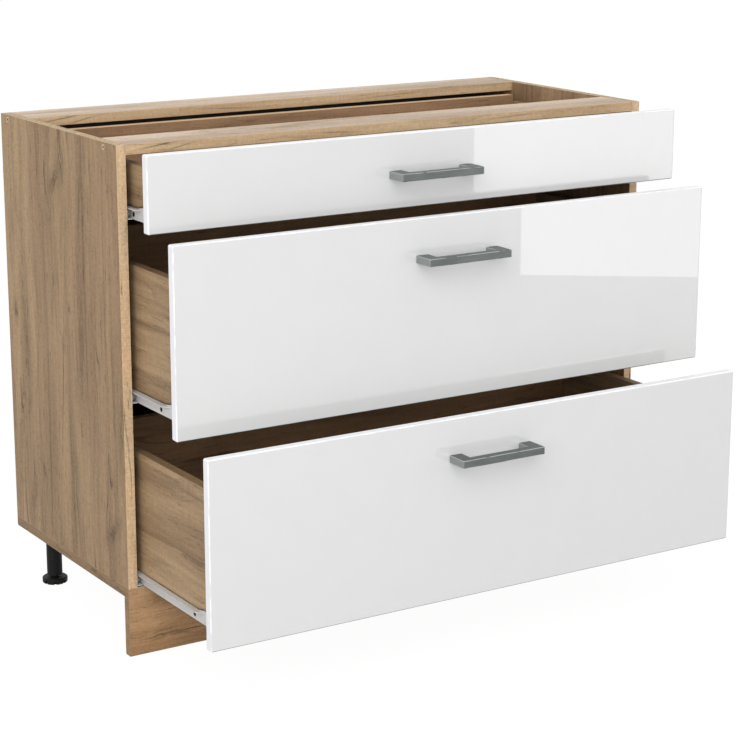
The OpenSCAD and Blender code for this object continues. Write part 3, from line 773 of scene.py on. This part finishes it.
@dataclass(frozen=True)
class Fibreboard(Finish):
    """Thin pressed fibreboard, raw or lacquered."""

    base: str = "#715539"
    fleck: str = "#a58560"
    flecks: float = 0.5
    roughness: float = 0.47
    relief: float = 0.00008
    dust: float = 0.1
    dust_colour: str = "#a89f92"

    MATS = Cloud((150.0, 150.0, 210.0), 6.0, 0.75)
    BROAD = Cloud((3.0, 3.0, 4.5), 5.0, 0.62)

    # Pale flecks, dark flecks and scuffs
    MARKS = (
        Cloud((420.0, 150.0, 180.0), low=0.6, high=0.72),
        Cloud((130.0, 160.0, 300.0), 3.0, 0.7, 0.6, 0.74),
        Cloud((3.0, 3.0, 55.0), 4.0, 0.6, 0.6, 0.78),
    )

    def draw(self, sheet: Sheet) -> None:
        """Draws matted fibres, pale and dark flecks, pressing marks and a few long scuffs.

        Args:
            sheet: the material's empty node tree.
        """
        mats = sheet.noise(sheet.place, self.MATS)
        pale, dark, scuffs = [sheet.patches(sheet.place, cloud) for cloud in self.MARKS]
        tone = sheet.add(sheet.remap(mats, 0.3, 0.7), sheet.times(pale, 0.8))
        colour = sheet.mix(sheet.times(tone, self.flecks), paint(self.base), paint(self.fleck))
        light = sheet.remap(sheet.noise(sheet.place, self.BROAD), 0.3, 0.7, 0.82, 1.14)
        light = sheet.add(sheet.less(light, sheet.times(dark, 0.3)), sheet.times(scuffs, 0.14))
        sheet.surface(
            Base_Color=sheet.coat(Effect.DUST, self.dust, sheet.shade(colour, light), self.dust_colour),
            Roughness=sheet.uneven(mats, self.roughness, 0.16),
            Normal=sheet.bump(mats, self.relief),
        )


@dataclass(frozen=True)
class Gloss(Finish):
    """High-gloss white lacquer, or the plain white of the back of a front."""

    base: str = "#e1e1e1"
    warm: str = "#e0e0e0"
    roughness: float = 0.006
    peel: float = 0.0000003
    rim: float = 4.0
    painted_shade: float = 0.9
    index: float = 1.8
    fineness: float = 60.0
    rim_colour: str = "#ffffff"
    painted_shade_colour: str = "#58595c"

    SMEARS = Cloud((5.0, 5.0, 9.0), 4.0)
    LOW_RIGHT: Triple = (0.7, 0.0, -0.7)

    def draw(self, sheet: Sheet) -> None:
        """Draws a clean pale lacquer with faint waviness, a painted highlight in white on the rounded edges
        and painted shade in grey on those that turn right or down.

        Args:
            sheet: the material's empty node tree.
        """
        film = sheet.effect(Effect.MOULD, Vector=sheet.place, Fineness=self.fineness)
        colour = sheet.mix(sheet.remap(film["Tone"], 0.35, 0.65), paint(self.base), paint(self.warm))
        # Painted highlight: the rounded edges are painted white.
        colour = sheet.coat(Effect.WEAR, self.rim, colour, self.rim_colour)
        # Painted shade: rounded edges that turn right or down are painted grey.
        turned = sheet.vector("DOT_PRODUCT", sheet.normal, self.LOW_RIGHT)
        sideways, _, upright = [sheet.math("ABSOLUTE", part) for part in sheet.split(sheet.normal)]
        curved = sheet.remap(sheet.math("MAXIMUM", sideways, upright), 0.85, 0.98, self.painted_shade, 0.0)
        painted_shade = sheet.times(sheet.remap(turned, 0.14, 0.4), curved)
        smears = sheet.noise(sheet.place, self.SMEARS)
        sheet.surface(
            Base_Color=sheet.mix(painted_shade, colour, paint(self.painted_shade_colour)),
            Roughness=sheet.remap(smears, 0.35, 0.75, self.roughness, self.roughness * 1.8),
            IOR=self.index,
            Normal=sheet.bump(film["Height"], self.peel),
        )


@dataclass(frozen=True)
class Painted(Finish):
    """Powder paint on bent sheet steel."""

    base: str = "#cdcccb"
    dirt: str = "#9d9a94"
    rubbed_colour: str = "#f2f1ef"
    hole_shade_colour: str = "#0e0d0c"
    roughness: float = 0.32
    fineness: float = 700.0
    relief: float = 0.00002
    wear: float = 0.5
    dust: float = 0.3
    holes: tuple[Triple, ...] = ()
    hole_shade_radius: float = 0.0043

    STREAKS = Cloud((60.0, 5.0, 220.0), 3.0, low=0.52, high=0.78)

    def draw(self, sheet: Sheet) -> None:
        """Draws paint with a fine orange peel, worn edges, settled dust and painted shade as dark discs round
        the holes.

        Args:
            sheet: the material's empty node tree.
        """
        skin = sheet.effect(Effect.MOULD, Vector=sheet.place, Fineness=self.fineness)
        colour = sheet.coat(Effect.WEAR, self.wear, paint(self.base), self.rubbed_colour)
        colour = sheet.coat(Effect.DUST, self.dust, colour, self.dirt)
        soiled = sheet.times(sheet.patches(sheet.place, self.STREAKS), 0.35)
        colour = sheet.mix(soiled, colour, paint(self.dirt))
        # Painted shade: a near-black disc round each hole, wider than the hole itself.
        for hole in self.holes:
            away = sheet.vector("MULTIPLY", sheet.vector("SUBTRACT", sheet.place, hole), Effects.ACROSS)
            near = sheet.fade(sheet.vector("LENGTH", away), self.hole_shade_radius * 0.85, self.hole_shade_radius)
            colour = sheet.mix(near, colour, paint(self.hole_shade_colour))
        sheet.surface(
            Base_Color=colour,
            Roughness=sheet.uneven(skin["Tone"], self.roughness, 0.14),
            Normal=sheet.bump(skin["Height"], self.relief),
        )


@dataclass(frozen=True)
class Metal(Finish):
    """Metal with a brushed or tumbled surface."""

    lay: Lay
    base: str = "#767a79"
    shade: str = "#646867"
    roughness: float = 0.34
    wear: float = 0.5
    rim: str = "#b9bdbb"
    relief: float = 0.000012

    def draw(self, sheet: Sheet) -> None:
        """Draws fine lines along the piece and a painted highlight on the rounded edges, most of all the
        level ones.

        Args:
            sheet: the material's empty node tree.
        """
        sheet.place = sheet.along(self.lay)
        lines = sheet.effect(Effect.BRUSH, Vector=sheet.place)
        level = sheet.math("ABSOLUTE", sheet.split(sheet.normal)[2])
        colour = sheet.mix(sheet.remap(lines["Tone"], 0.35, 0.65), paint(self.shade), paint(self.base))
        # Painted highlight: the rounded edges are painted paler, most of all the level ones.
        highlighted = sheet.remap(level, 0.1, 0.4, 0.0, self.wear)
        sheet.surface(
            Base_Color=sheet.coat(Effect.WEAR, highlighted, colour, self.rim),
            Metallic=1.0,
            Roughness=sheet.uneven(lines["Tone"], self.roughness, 0.12),
            Normal=sheet.bump(lines["Height"], self.relief),
        )


@dataclass(frozen=True)
class Plastic(Finish):
    """Moulded plastic."""

    base: str = "#121212"
    scuff: str = "#262625"
    dust_colour: str = "#8d8a84"
    roughness: float = 0.4
    fineness: float = 1500.0
    relief: float = 0.00004
    wear: float = 0.6
    dust: float = 0.08
    shine: float = 0.15

    def draw(self, sheet: Sheet) -> None:
        """Draws an eroded mould texture, scuffed edges and dust on top.

        Args:
            sheet: the material's empty node tree.
        """
        skin = sheet.effect(Effect.MOULD, Vector=sheet.place, Fineness=self.fineness)
        colour = sheet.coat(Effect.WEAR, self.wear, paint(self.base), self.scuff)
        sheet.surface(
            Base_Color=sheet.coat(Effect.DUST, self.dust, colour, self.dust_colour),
            Specular_IOR_Level=self.shine,
            Roughness=sheet.uneven(skin["Tone"], self.roughness, 0.15),
            Normal=sheet.bump(skin["Height"], self.relief),
        )


class Paintbox:
    """Makes one material for each finish, at its first use."""

    def __init__(self) -> None:
        """Starts with the shared effects and no material."""
        self.effects = Effects()
        self._made: dict[Finish, bpy.types.Material] = {}

    def material(self, finish: Finish) -> bpy.types.Material:
        """Hands out the material of a finish.

        Args:
            finish: the finish.

        Returns:
            Its material.
        """
        if finish not in self._made:
            made = bpy.data.materials.new(finish.name)
            finish.draw(Sheet(emptied(made), self.effects))
            self._made[finish] = made
        return self._made[finish]


@dataclass(frozen=True)
class Bevel:
    """How the edges of a piece are rounded, with the number of strips in each rounding."""

    radius: float
    segments: int = 2


class Palette:
    """The finishes of this cabinet."""

    core = Core("Chipboard core")
    # Painted shade: a near-black chipboard for the walls of holes.
    hole_walls_painted_shade = Core("Chipboard hole walls in painted shade", "#1b1510", "#0c0907")
    side_tones = {"light": "#b79a77", "dark": "#8a6e54", "veins": 0.22, "cracks": 0.55, "specks": 0.58}
    oak_side = Oak(
        "Oak side panel",
        Lay.ALONG_Z,
        knot_and_shade_colour="#624e38",
        knots=(
            Knot(0.735, 0.168, 0.026, 0.016, 0.8, -0.7),
            Knot(0.194, -0.015, 0.026, 0.015, 0.8, -0.7),
            Knot(0.530, 0.126, 0.008, 0.005, 1.0),
            Knot(0.470, 0.024, 0.014, 0.005, 0.85, 0.3),
            Knot(0.228, 0.247, 0.016, 0.006, 0.85, 0.3),
            Knot(0.489, 0.343, 0.022, 0.009, 0.85),
            Knot(0.480, 0.310, 0.130, 0.014, 0.45, 0.05),
            Knot(0.480, 0.084, 0.110, 0.014, 0.55, -0.05),
            crack(0.720, 0.076, 0.080, 0.0040, 0.65, -0.1),
            crack(0.400, 0.158, 0.200, 0.0026, 0.75, -0.11),
            crack(0.250, 0.222, 0.170, 0.0030, 0.8, -0.02),
            crack(0.590, -0.004, 0.190, 0.0030, 0.35, -0.02),
            Knot(0.300, 0.330, 0.110, 0.014, 0.4, -0.2),
            Knot(0.170, 0.300, 0.060, 0.012, 0.45, -0.25),
        ),
        **side_tones,
    )
    oak_upright = Oak("Oak upright", Lay.ALONG_Z, (0.37, 0.06, 0.13), **side_tones)
    oak_long = Oak("Oak lengthwise", Lay.ALONG_X, (0.2, 0.1, 0.05), "#e9d4bb", "#b69d85")
    oak_box = Oak(
        "Oak drawer side",
        Lay.ALONG_Y,
        (0.6, 0.31, 0.11),
        "#c0a380",
        "#866c50",
        # Painted shade: the knot colour here draws dark lines in the gaps behind the front and over the rail.
        knot_and_shade_colour="#3d2f20",
        waviness=0.007,
        veins=0.24,
        cracks=0.15,
        knots=(
            *box_gap_shades(-0.1465, 0.7243, joint=(0.755, 0.070), ledge=(-0.060, 0.120)),
            *box_gap_shades(-0.2245, 0.4358, joint=(0.530, 0.160), ledge=(-0.100, 0.160)),
            *box_gap_shades(-0.3215, 0.1373, joint=(0.232, 0.160), ledge=(-0.160, 0.240)),
        ),
    )
    oak_box_back = Oak("Oak drawer back", Lay.ALONG_X, (0.3, 0.22, 0.4), "#b28d6a", "#80604a")
    edging_upright = Oak(
        "Oak edging upright", Lay.ALONG_Z, (0.9, 0.4, 0.2), "#e8cba6", "#cdad88", "#c2a67f", specks=0.8
    )
    edging_long = Oak(
        "Oak edging lengthwise",
        Lay.ALONG_X,
        (0.4, 0.3, 0.7),
        "#e0c39d",
        "#bd9c78",
        "#b99d79",
        knots=(
            crack(-0.430, 0.812, 0.045, 0.0012, 0.75, 0.12),
            crack(-0.395, 0.807, 0.030, 0.0012, 0.6, 0.2),
            crack(-0.110, 0.808, 0.060, 0.0014, 0.5, -0.05),
            crack(0.230, 0.810, 0.080, 0.0012, 0.5, 0.04),
        ),
    )
    edging_deep = Oak(
        "Oak edging front to back",
        Lay.ALONG_Y,
        (0.5, 0.8, 0.3),
        "#a98a67",
        "#735640",
        waviness=0.008,
        veins=0.3,
        knots=(
            Knot(0.063, 0.106, 0.018, 0.0055, 0.85, bend=2.0, ragged=2.0),
            Knot(0.160, 0.103, 0.040, 0.0020, 0.6, 0.05),
        ),
    )
    # Painted shade: a darker oak for the top edges of the drawer sides.
    edging_box_painted_shade = Oak("Oak drawer edging, darkened as painted shade", Lay.ALONG_Y, (0.7, 0.2, 0.6), "#a08460", "#74593f")
    plinth = Oak(
        "Oak plinth",
        Lay.ALONG_X,
        (0.0, 0.02, 0.04),
        "#c69e75",
        "#9c7855",
        "#947a52",
        waviness=0.012,
        ripples=0.3,
        veins=0.12,
        knots=(crack(-0.392, 0.027, 0.045, 0.0012, 1.0), Knot(-0.444, 0.089, 0.030, 0.012, 0.35)),
    )
    back_inside = Fibreboard("Dark lacquered fibreboard", "#4d443b", "#5c5146", flecks=0.4, roughness=0.42)
    back_outside = Fibreboard("Raw fibreboard")
    gloss = Gloss("White high gloss")
    # Partly painted light: a rougher gloss for the edging, in a lighter white that stands for the light on
    # the ends and edges.
    gloss_end_painted_light = Gloss("White high gloss edging, lightened as painted light", "#f3f3f6", "#f1f1f4", roughness=0.08)
    matt_white = Gloss(
        "White inner side of a front",
        "#dcdbd8",
        "#d8d6d3",
        roughness=0.42,
        peel=0.00002,
        rim=0.1,
        painted_shade=0.2,
        index=1.5,
    )
    rail = Painted("White painted steel")
    # Painted shade: dark discs round the holes of the box rails.
    box_rail = Painted(
        "White painted steel, painted shade round the holes",
        holes=((0.0, -0.0635, 0.7097), (0.0, -0.1415, 0.4212), (0.0, -0.2385, 0.1227)),
    )
    # Handle finishes: a strong painted highlight on the level edges, a darker top as painted shade and
    # lighter ends as painted light.
    handle_rim = {"wear": 12.0, "rim": "#bcc0be"}
    handle = Metal("Satin grey metal", Lay.ALONG_X, "#727675", "#5f6362", **handle_rim)
    handle_top_painted_shade = Metal("Satin grey metal, top darkened as painted shade", Lay.ALONG_X, "#696e6d", "#555a59", **handle_rim)
    handle_end_painted_light = Metal("Satin grey metal, ends lightened as painted light", Lay.ALONG_Y, "#a9adab", "#9a9e9c", **handle_rim)
    yellow_zinc = Metal("Yellow zinc", Lay.ALONG_Z, "#d9c49a", "#b59c72", roughness=0.3, wear=0.3)
    zinc = Metal("Bright zinc", Lay.ALONG_Z, "#c3c6c6", "#9fa3a4", roughness=0.28, wear=0.3)
    black = Plastic("Black plastic")
    # Partly painted shade: the pale roller plastic is given a mid grey, for the shade at the carcass edge.
    roller = Plastic("Pale roller plastic", "#8f8c86", "#a5a29c", roughness=0.36, dust=0.1, shine=0.3)
    beech = Oak("Beech dowel", Lay.ALONG_X, light="#d6b78b", dark="#c5a276", grey="#c9aa80", smudges=0.1)


class Workshop:
    """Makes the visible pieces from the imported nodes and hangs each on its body."""

    def __init__(self, frame: Mapping[str, object], paints: Paintbox) -> None:
        """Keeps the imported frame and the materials.

        Args:
            paints: the materials by finish.
        """
        self.nodes: Mapping[str, Piece] = frame["nodes"]
        self.paints = paints
        bodies = frame["record"]["behaviour"]["bodies"]
        self.body_of = {node: body for body, members in bodies.items() for node in members}
        self.slot_of = {node: packed.data.materials[0].name for node, packed in self.nodes.items()}

    def shape_of(self, node: str) -> Shape:
        """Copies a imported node's mesh, welded, with its flat faces joined into whole faces.

        Args:
            node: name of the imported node.

        Returns:
            A mesh that the caller changes and hands to stand_for.
        """
        shape = bmesh.new()
        shape.from_mesh(self.nodes[node].data)
        bmesh.ops.remove_doubles(shape, verts=shape.verts, dist=WELD)
        bmesh.ops.dissolve_limit(shape, angle_limit=FLAT_ANGLE, verts=shape.verts, edges=shape.edges)
        return shape

    @staticmethod
    def round_edges(shape: Shape, edges: Iterable[Edge], bevel: Bevel) -> None:
        """Rounds some edges of a mesh. The new faces take the finishes of those beside them."""
        sizes = {"offset": bevel.radius, "segments": bevel.segments, "profile": 0.5}
        bmesh.ops.bevel(shape, geom=list(edges), affect="EDGES", clamp_overlap=True, material=-1, **sizes)

    @staticmethod
    def on_box(point: Vector, low: Vector, high: Vector) -> set[Side]:
        """Names the sides of a box that a point lies on."""
        walls = {side: (high if side.value[1] > 0 else low)[side.value[0]] for side in Side}
        return {side for side, wall in walls.items() if abs(point[side.value[0]] - wall) < WELD}

    @classmethod
    def outline_edges(cls, shape: Shape, low: Vector, high: Vector) -> list[Edge]:
        """Finds the edges that lie along the twelve edges of a box, without those of holes."""
        ends = [(edge, [cls.on_box(corner.co, low, high) for corner in edge.verts]) for edge in shape.edges]
        return [edge for edge, (first, second) in ends if len(first & second) >= 2]

    @staticmethod
    def sharp_edges(shape: Shape, angle: float = SHARP_ANGLE) -> list[Edge]:
        """Finds the edges whose two faces meet at more than an angle."""
        inner = [edge for edge in shape.edges if len(edge.link_faces) == 2]
        return [edge for edge in inner if edge.calc_face_angle(0.0) > angle]

    @staticmethod
    def number_faces(shape: Shape, numbers: Mapping[Side, int]) -> None:
        """Gives each face the number of its side's finish, or 0."""
        for face in shape.faces:
            face.material_index = numbers.get(Side.of(face.normal), 0)

    def stand_for(self, shape: Shape, node: str, finishes: Sequence[Finish]) -> Piece:
        """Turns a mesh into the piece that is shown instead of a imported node.

        Args:
            shape: the mesh, which is freed.
            node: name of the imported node.
            finishes: the finishes that the faces' material numbers count.

        Returns:
            The piece, riding on the node's body.
        """
        mesh = bpy.data.meshes.new(f"{node}_shown")
        for face in shape.faces:
            face.smooth = True
        shape.normal_update()
        shape.to_mesh(mesh)
        shape.free()
        mesh.set_sharp_from_angle(angle=SHARP_ANGLE)
        for finish in finishes:
            mesh.materials.append(self.paints.material(finish))
        piece = linked(mesh.name, mesh)
        even = piece.modifiers.new("Even shading", "WEIGHTED_NORMAL")
        even.keep_sharp = True
        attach(piece, self.body_of[node])
        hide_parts(node)
        log.info("%s stands for %s on %s", piece.name, node, self.body_of[node])
        return piece

    def dress(self, node: str, finish: Finish) -> None:
        """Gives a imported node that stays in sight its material.

        Args:
            node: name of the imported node.
            finish: its finish.
        """
        data = self.nodes[node].data
        data.materials.clear()
        data.materials.append(self.paints.material(finish))
        log.info("%s keeps its form with the finish %s", node, finish.name)

    def board(self, node: str, sides: Mapping[Side, Finish], rest: Finish, bevel: Bevel) -> Piece:
        """Makes a board with rounded outer edges and a finish for each side.

        Args:
            node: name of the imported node.
            sides: finish by side.
            rest: finish of the other sides.
            bevel: rounding of the outer edges.

        Returns:
            The piece.
        """
        shape = self.shape_of(node)
        low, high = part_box(node)
        # Faces off the box, the walls of holes, keep number 0 and take the near-black chipboard as painted
        # shade.
        finishes = [Palette.hole_walls_painted_shade, rest, *dict.fromkeys(sides.values())]
        for face in shape.faces:
            if self.on_box(face.calc_center_median(), low, high):
                face.material_index = finishes.index(sides.get(Side.of(face.normal), rest))
        self.round_edges(shape, self.outline_edges(shape, low, high), bevel)
        return self.stand_for(shape, node, finishes)

    def rounded(self, node: str, finish: Finish, bevel: Bevel) -> Piece:
        """Makes a piece of one finish with all its sharp edges rounded.

        Args:
            node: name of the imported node.
            finish: the piece's finish.
            bevel: rounding of its edges.

        Returns:
            The piece.
        """
        shape = self.shape_of(node)
        self.round_edges(shape, self.sharp_edges(shape), bevel)
        return self.stand_for(shape, node, [finish])


@dataclass
class Assembly(ABC):
    """Pieces that belong together, with the roundings that assemblies share."""

    shop: Workshop
    board_edge: Bevel = Bevel(0.6 * MM)
    thin_edge: Bevel = Bevel(0.3 * MM)
    sheet_edge: Bevel = Bevel(0.25 * MM)
    roller_edge: Bevel = Bevel(0.6 * MM)
    moulded_edge: Bevel = Bevel(0.5 * MM)

    @abstractmethod
    def build(self) -> None:
        """Builds every piece of the assembly."""


@dataclass
class Carcass(Assembly):
    """The boards, the back, the screws, the nails and the dowels of the fixed cabinet."""

    def build(self) -> None:
        """Builds every fixed piece above the legs."""
        self.build_sides()
        self.build_level_boards()
        self.shop.board("back_panel", {Side.FRONT: Palette.back_inside}, Palette.back_outside, self.thin_edge)
        for node in ("back_nails", "runner_screws"):
            self.shop.dress(node, Palette.zinc)
        self.shop.dress("carcass_screws", Palette.yellow_zinc)
        self.shop.dress("carcass_dowels", Palette.beech)

    def build_sides(self) -> None:
        """Builds the two side panels, with edging in front and raw edges on top."""
        for hand, finish in zip(HANDS, (Palette.oak_side, Palette.oak_upright)):
            sides = dict.fromkeys(ENDS, finish) | {Side.FRONT: Palette.edging_upright}
            self.shop.board(f"side_panel_{hand}", sides, Palette.core, self.board_edge)

    def build_level_boards(self) -> None:
        """Builds the bottom panel and the two stretchers."""
        faces = {Side.UP: Palette.oak_long, Side.DOWN: Palette.oak_long, Side.FRONT: Palette.edging_long}
        for node in ("front_stretcher", "rear_stretcher"):
            self.shop.board(node, faces, Palette.core, self.board_edge)
        ends = dict.fromkeys(ENDS, Palette.edging_deep) | {Side.FRONT: Palette.plinth}
        self.shop.board("bottom_panel", faces | ends, Palette.core, self.board_edge)


@dataclass
class Base(Assembly):
    """The plinth board with its clips, and the legs with their screw feet."""

    def build(self) -> None:
        """Builds everything between the bottom panel and the floor."""
        faces = {Side.FRONT: Palette.plinth, Side.REAR: Palette.oak_long}
        sides = faces | dict.fromkeys(ENDS, Palette.edging_deep)
        self.shop.board("plinth_board", sides, Palette.core, self.board_edge)
        feet = [f"foot_{end}_{hand}" for end in ("front", "rear") for hand in HANDS]
        for node in ("plinth_clips", "leg_sockets", "leg_tubes", *feet):
            self.shop.rounded(node, Palette.black, self.moulded_edge)


@dataclass
class Runners(Assembly):
    """The wall rails with the rollers that turn on them."""

    def build(self) -> None:
        """Builds the rails and the rollers on the side panels."""
        for level in LEVELS:
            for hand in HANDS:
                self.shop.rounded(f"{level}_wall_rail_{hand}", Palette.rail, self.sheet_edge)
            self.shop.rounded(f"{level}_front_rollers", Palette.roller, self.roller_edge)


@dataclass
class Drawer(Assembly):
    """One drawer: a gloss front with its handle on an oak box that runs on two rails."""

    level: str = "top"
    front_corner: Bevel = Bevel(3.2 * MM, 6)
    front_edge: Bevel = Bevel(2.4 * MM, 5)
    handle_edge: Bevel = Bevel(1.3 * MM, 4)
    leg_width: float = 22.0 * MM
    bar_depth: float = 15.0 * MM

    def build(self) -> None:
        """Builds the whole drawer."""
        self.build_front()
        self.build_box()
        self.build_rails()
        self.build_handle()
        self.shop.dress(f"{self.level}_drawer_fixings", Palette.zinc)
        self.shop.dress(f"{self.level}_handle_screws", Palette.zinc)

    def build_front(self) -> None:
        """Builds the front as a slab with rounded edges, plain white on its inner side."""
        node = f"{self.level}_drawer_front"
        low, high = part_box(node)
        shape = bmesh.new()
        bmesh.ops.create_cube(shape, size=1.0)
        for corner in shape.verts:
            corner.co = Vector([(low[a] + high[a]) / 2 + corner.co[a] * (high[a] - low[a]) for a in range(3)])
        # The ends and edges take the lighter edging white as painted light, the face the gloss and the inner
        # side matt white.
        self.shop.number_faces(shape, {Side.FRONT: 1, Side.REAR: 2})
        corners = [edge for edge in shape.edges if abs(edge.verts[0].co.y - edge.verts[1].co.y) > MM]
        self.shop.round_edges(shape, corners, self.front_corner)
        self.shop.round_edges(shape, self.shop.sharp_edges(shape, SLAB_ANGLE), self.front_edge)
        self.shop.stand_for(shape, node, [Palette.gloss_end_painted_light, Palette.gloss, Palette.matt_white])

    def build_box(self) -> None:
        """Builds the sides, the back and the bottom of the box."""
        sides = dict.fromkeys(ENDS, Palette.oak_box) | {Side.UP: Palette.edging_box_painted_shade}
        for hand in HANDS:
            self.shop.board(f"{self.level}_drawer_side_{hand}", sides, Palette.core, self.board_edge)
        back = dict.fromkeys((Side.FRONT, Side.REAR), Palette.oak_box_back) | {Side.UP: Palette.edging_long}
        self.shop.board(f"{self.level}_drawer_back", back, Palette.core, self.board_edge)
        bottom = {Side.UP: Palette.back_inside}
        self.shop.board(f"{self.level}_drawer_bottom", bottom, Palette.back_outside, self.thin_edge)

    def build_rails(self) -> None:
        """Builds the box rails and the rollers at their rear ends."""
        for hand in HANDS:
            self.shop.rounded(f"{self.level}_box_rail_{hand}", Palette.box_rail, self.sheet_edge)
        self.shop.rounded(f"{self.level}_rear_rollers", Palette.roller, self.roller_edge)

    def build_handle(self) -> None:
        """Builds the handle from its outline, a bar on two legs, with softly rounded edges."""
        node = f"{self.level}_handle"
        (left, front, under), (right, back, over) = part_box(node)
        inner = front + self.bar_depth
        notch_left = left + self.leg_width
        notch_right = right - self.leg_width
        outline = [(left, back), (left, front), (right, front), (right, back)]
        outline += [(notch_right, back), (notch_right, inner), (notch_left, inner), (notch_left, back)]
        shape = bmesh.new()
        base = shape.faces.new([shape.verts.new((x, y, under)) for x, y in outline])
        raised = bmesh.ops.extrude_face_region(shape, geom=[base])["geom"]
        corners = [part for part in raised if isinstance(part, bmesh.types.BMVert)]
        bmesh.ops.translate(shape, verts=corners, vec=(0.0, 0.0, over - under))
        bmesh.ops.recalc_face_normals(shape, faces=shape.faces)
        # The top takes the darker metal as painted shade and the ends the lighter metal as painted light.
        self.shop.number_faces(shape, {Side.UP: 1, Side.LEFT: 2, Side.RIGHT: 2})
        self.shop.round_edges(shape, self.shop.sharp_edges(shape), self.handle_edge)
        self.shop.stand_for(shape, node, [Palette.handle, Palette.handle_top_painted_shade, Palette.handle_end_painted_light])


@dataclass
class Studio:
    """The floor, the daylight, the lamps and the camera."""

    camera_place: Triple = (-1.8805, -2.9857, 1.2835)
    camera_yaw: float = -0.5587
    camera_pitch: float = -0.2473
    camera_lens: float = 105.42
    camera_reach: float = 200.0
    sensor: float = 36.0
    floor_size: float = 60.0
    floor_drop: float = 0.0003
    floor_colour: str = "#b4b4b4"
    floor_glow: float = 0.86
    floor_white: float = 1.12
    sky_colour: str = "#ffffff"
    daylight: float = 0.71
    key_place: Triple = (-2.5, -2.9, 2.2)
    key_aim: Triple = (0.0, 0.0, 0.4)
    key_size: float = 4.0
    key_power: float = 112.0
    card_base: Triple = (1.756, -2.536, 0.0)
    card_angle: float = math.radians(35.3)
    card_width: float = 1.7
    card_light: float = 4.4
    card_steps: tuple[Triple, ...] = ((0.0, 0.215, 0.035), (0.215, 1.3, -0.016))

    def build(self) -> None:
        """Builds the whole studio round the cabinet."""
        bpy.context.scene.view_settings.view_transform = "Standard"
        self.build_floor()
        self.build_daylight()
        self.build_key()
        self.build_card()
        self.build_camera()

    def build_floor(self) -> None:
        """Builds a pale floor that reads white to the camera and still takes the shadow."""
        half = self.floor_size / 2
        corners = [(-half, -half), (half, -half), (half, half), (-half, half)]
        mesh = bpy.data.meshes.new("studio_floor")
        mesh.from_pydata([(x, y, -self.floor_drop) for x, y in corners], [], [(0, 1, 2, 3)])
        material = bpy.data.materials.new("Pale studio floor")
        graph = Graph(emptied(material))
        paper = graph.node("ShaderNodeBsdfDiffuse", paint(self.floor_colour))
        glow = graph.fill(graph.node("ShaderNodeEmission"), Strength=self.floor_white)
        share = graph.times(graph.seen(), self.floor_glow)
        both = graph.node("ShaderNodeMixShader", share, paper.outputs[0], glow.outputs[0])
        graph.node("ShaderNodeOutputMaterial", both.outputs[0])
        mesh.materials.append(material)
        linked("studio_floor", mesh)
        log.info("floor laid")

    def build_daylight(self) -> None:
        """Builds an even white sky: white to the camera and to mirrors, gentler as light."""
        world = bpy.data.worlds.new("Studio daylight")
        bpy.context.scene.world = world
        graph = Graph(emptied(world))
        strength = graph.remap(graph.seen(), 0.0, 1.0, self.daylight, 1.0)
        sky = graph.node("ShaderNodeBackground", paint(self.sky_colour), strength)
        graph.node("ShaderNodeOutputWorld", sky.outputs[0])
        log.info("daylight on")

    def hang_lamp(self, name: str, size: Pair, power: float, place: Vector, turn: Euler) -> None:
        """Hangs a soft lamp that the camera doesn't see.

        Args:
            name: name of the lamp.
            size: its width and height.
            power: its power in watts.
            place: its middle.
            turn: its rotation, away from shining straight down.
        """
        data = bpy.data.lights.new(name, "AREA")
        data.shape = "RECTANGLE"
        data.size, data.size_y = size
        data.energy = power
        lamp = linked(name, data)
        lamp.location = place
        lamp.rotation_euler = turn
        lamp.visible_camera = False
        log.info("%s hung", name)

    def build_key(self) -> None:
        """Hangs a large soft lamp at the front left, above the camera."""
        place = Vector(self.key_place)
        turn = (Vector(self.key_aim) - place).to_track_quat("-Z", "Y").to_euler()
        self.hang_lamp("key_lamp", (self.key_size, self.key_size), self.key_power, place, turn)

    def build_card(self) -> None:
        """Stands a bright card on the floor at the front right, which the gloss fronts mirror."""
        along = Vector((math.cos(self.card_angle), math.sin(self.card_angle), 0.0))
        upright = Euler((math.pi / 2, 0.0, self.card_angle))
        for number, (low, high, inset) in enumerate(self.card_steps):
            size = (self.card_width - inset, high - low)
            reach = along * (self.card_width + inset) / 2
            place = Vector(self.card_base) + reach + Vector((0.0, 0.0, (low + high) / 2))
            self.hang_lamp(f"bright_card_{number}", size, self.card_light * size[0] * size[1], place, upright)

    def build_camera(self) -> None:
        """Places the camera at the photograph's viewing angle."""
        data = bpy.data.cameras.new("camera")
        data.lens = self.camera_lens
        data.sensor_width = self.sensor
        data.clip_end = self.camera_reach
        camera = linked("camera", data)
        camera.location = self.camera_place
        camera.rotation_euler = (math.pi / 2 + self.camera_pitch, 0.0, self.camera_yaw)
        bpy.context.scene.camera = camera
        log.info("camera placed")


def main() -> None:
    logging.basicConfig(level=logging.INFO, format="%(name)s: %(message)s")
    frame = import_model()
    shop = Workshop(frame, Paintbox())
    Studio().build()
    Carcass(shop).build()
    Base(shop).build()
    Runners(shop).build()
    for level in LEVELS:
        Drawer(shop, level=level).build()


if __name__ == "__main__":
    main()
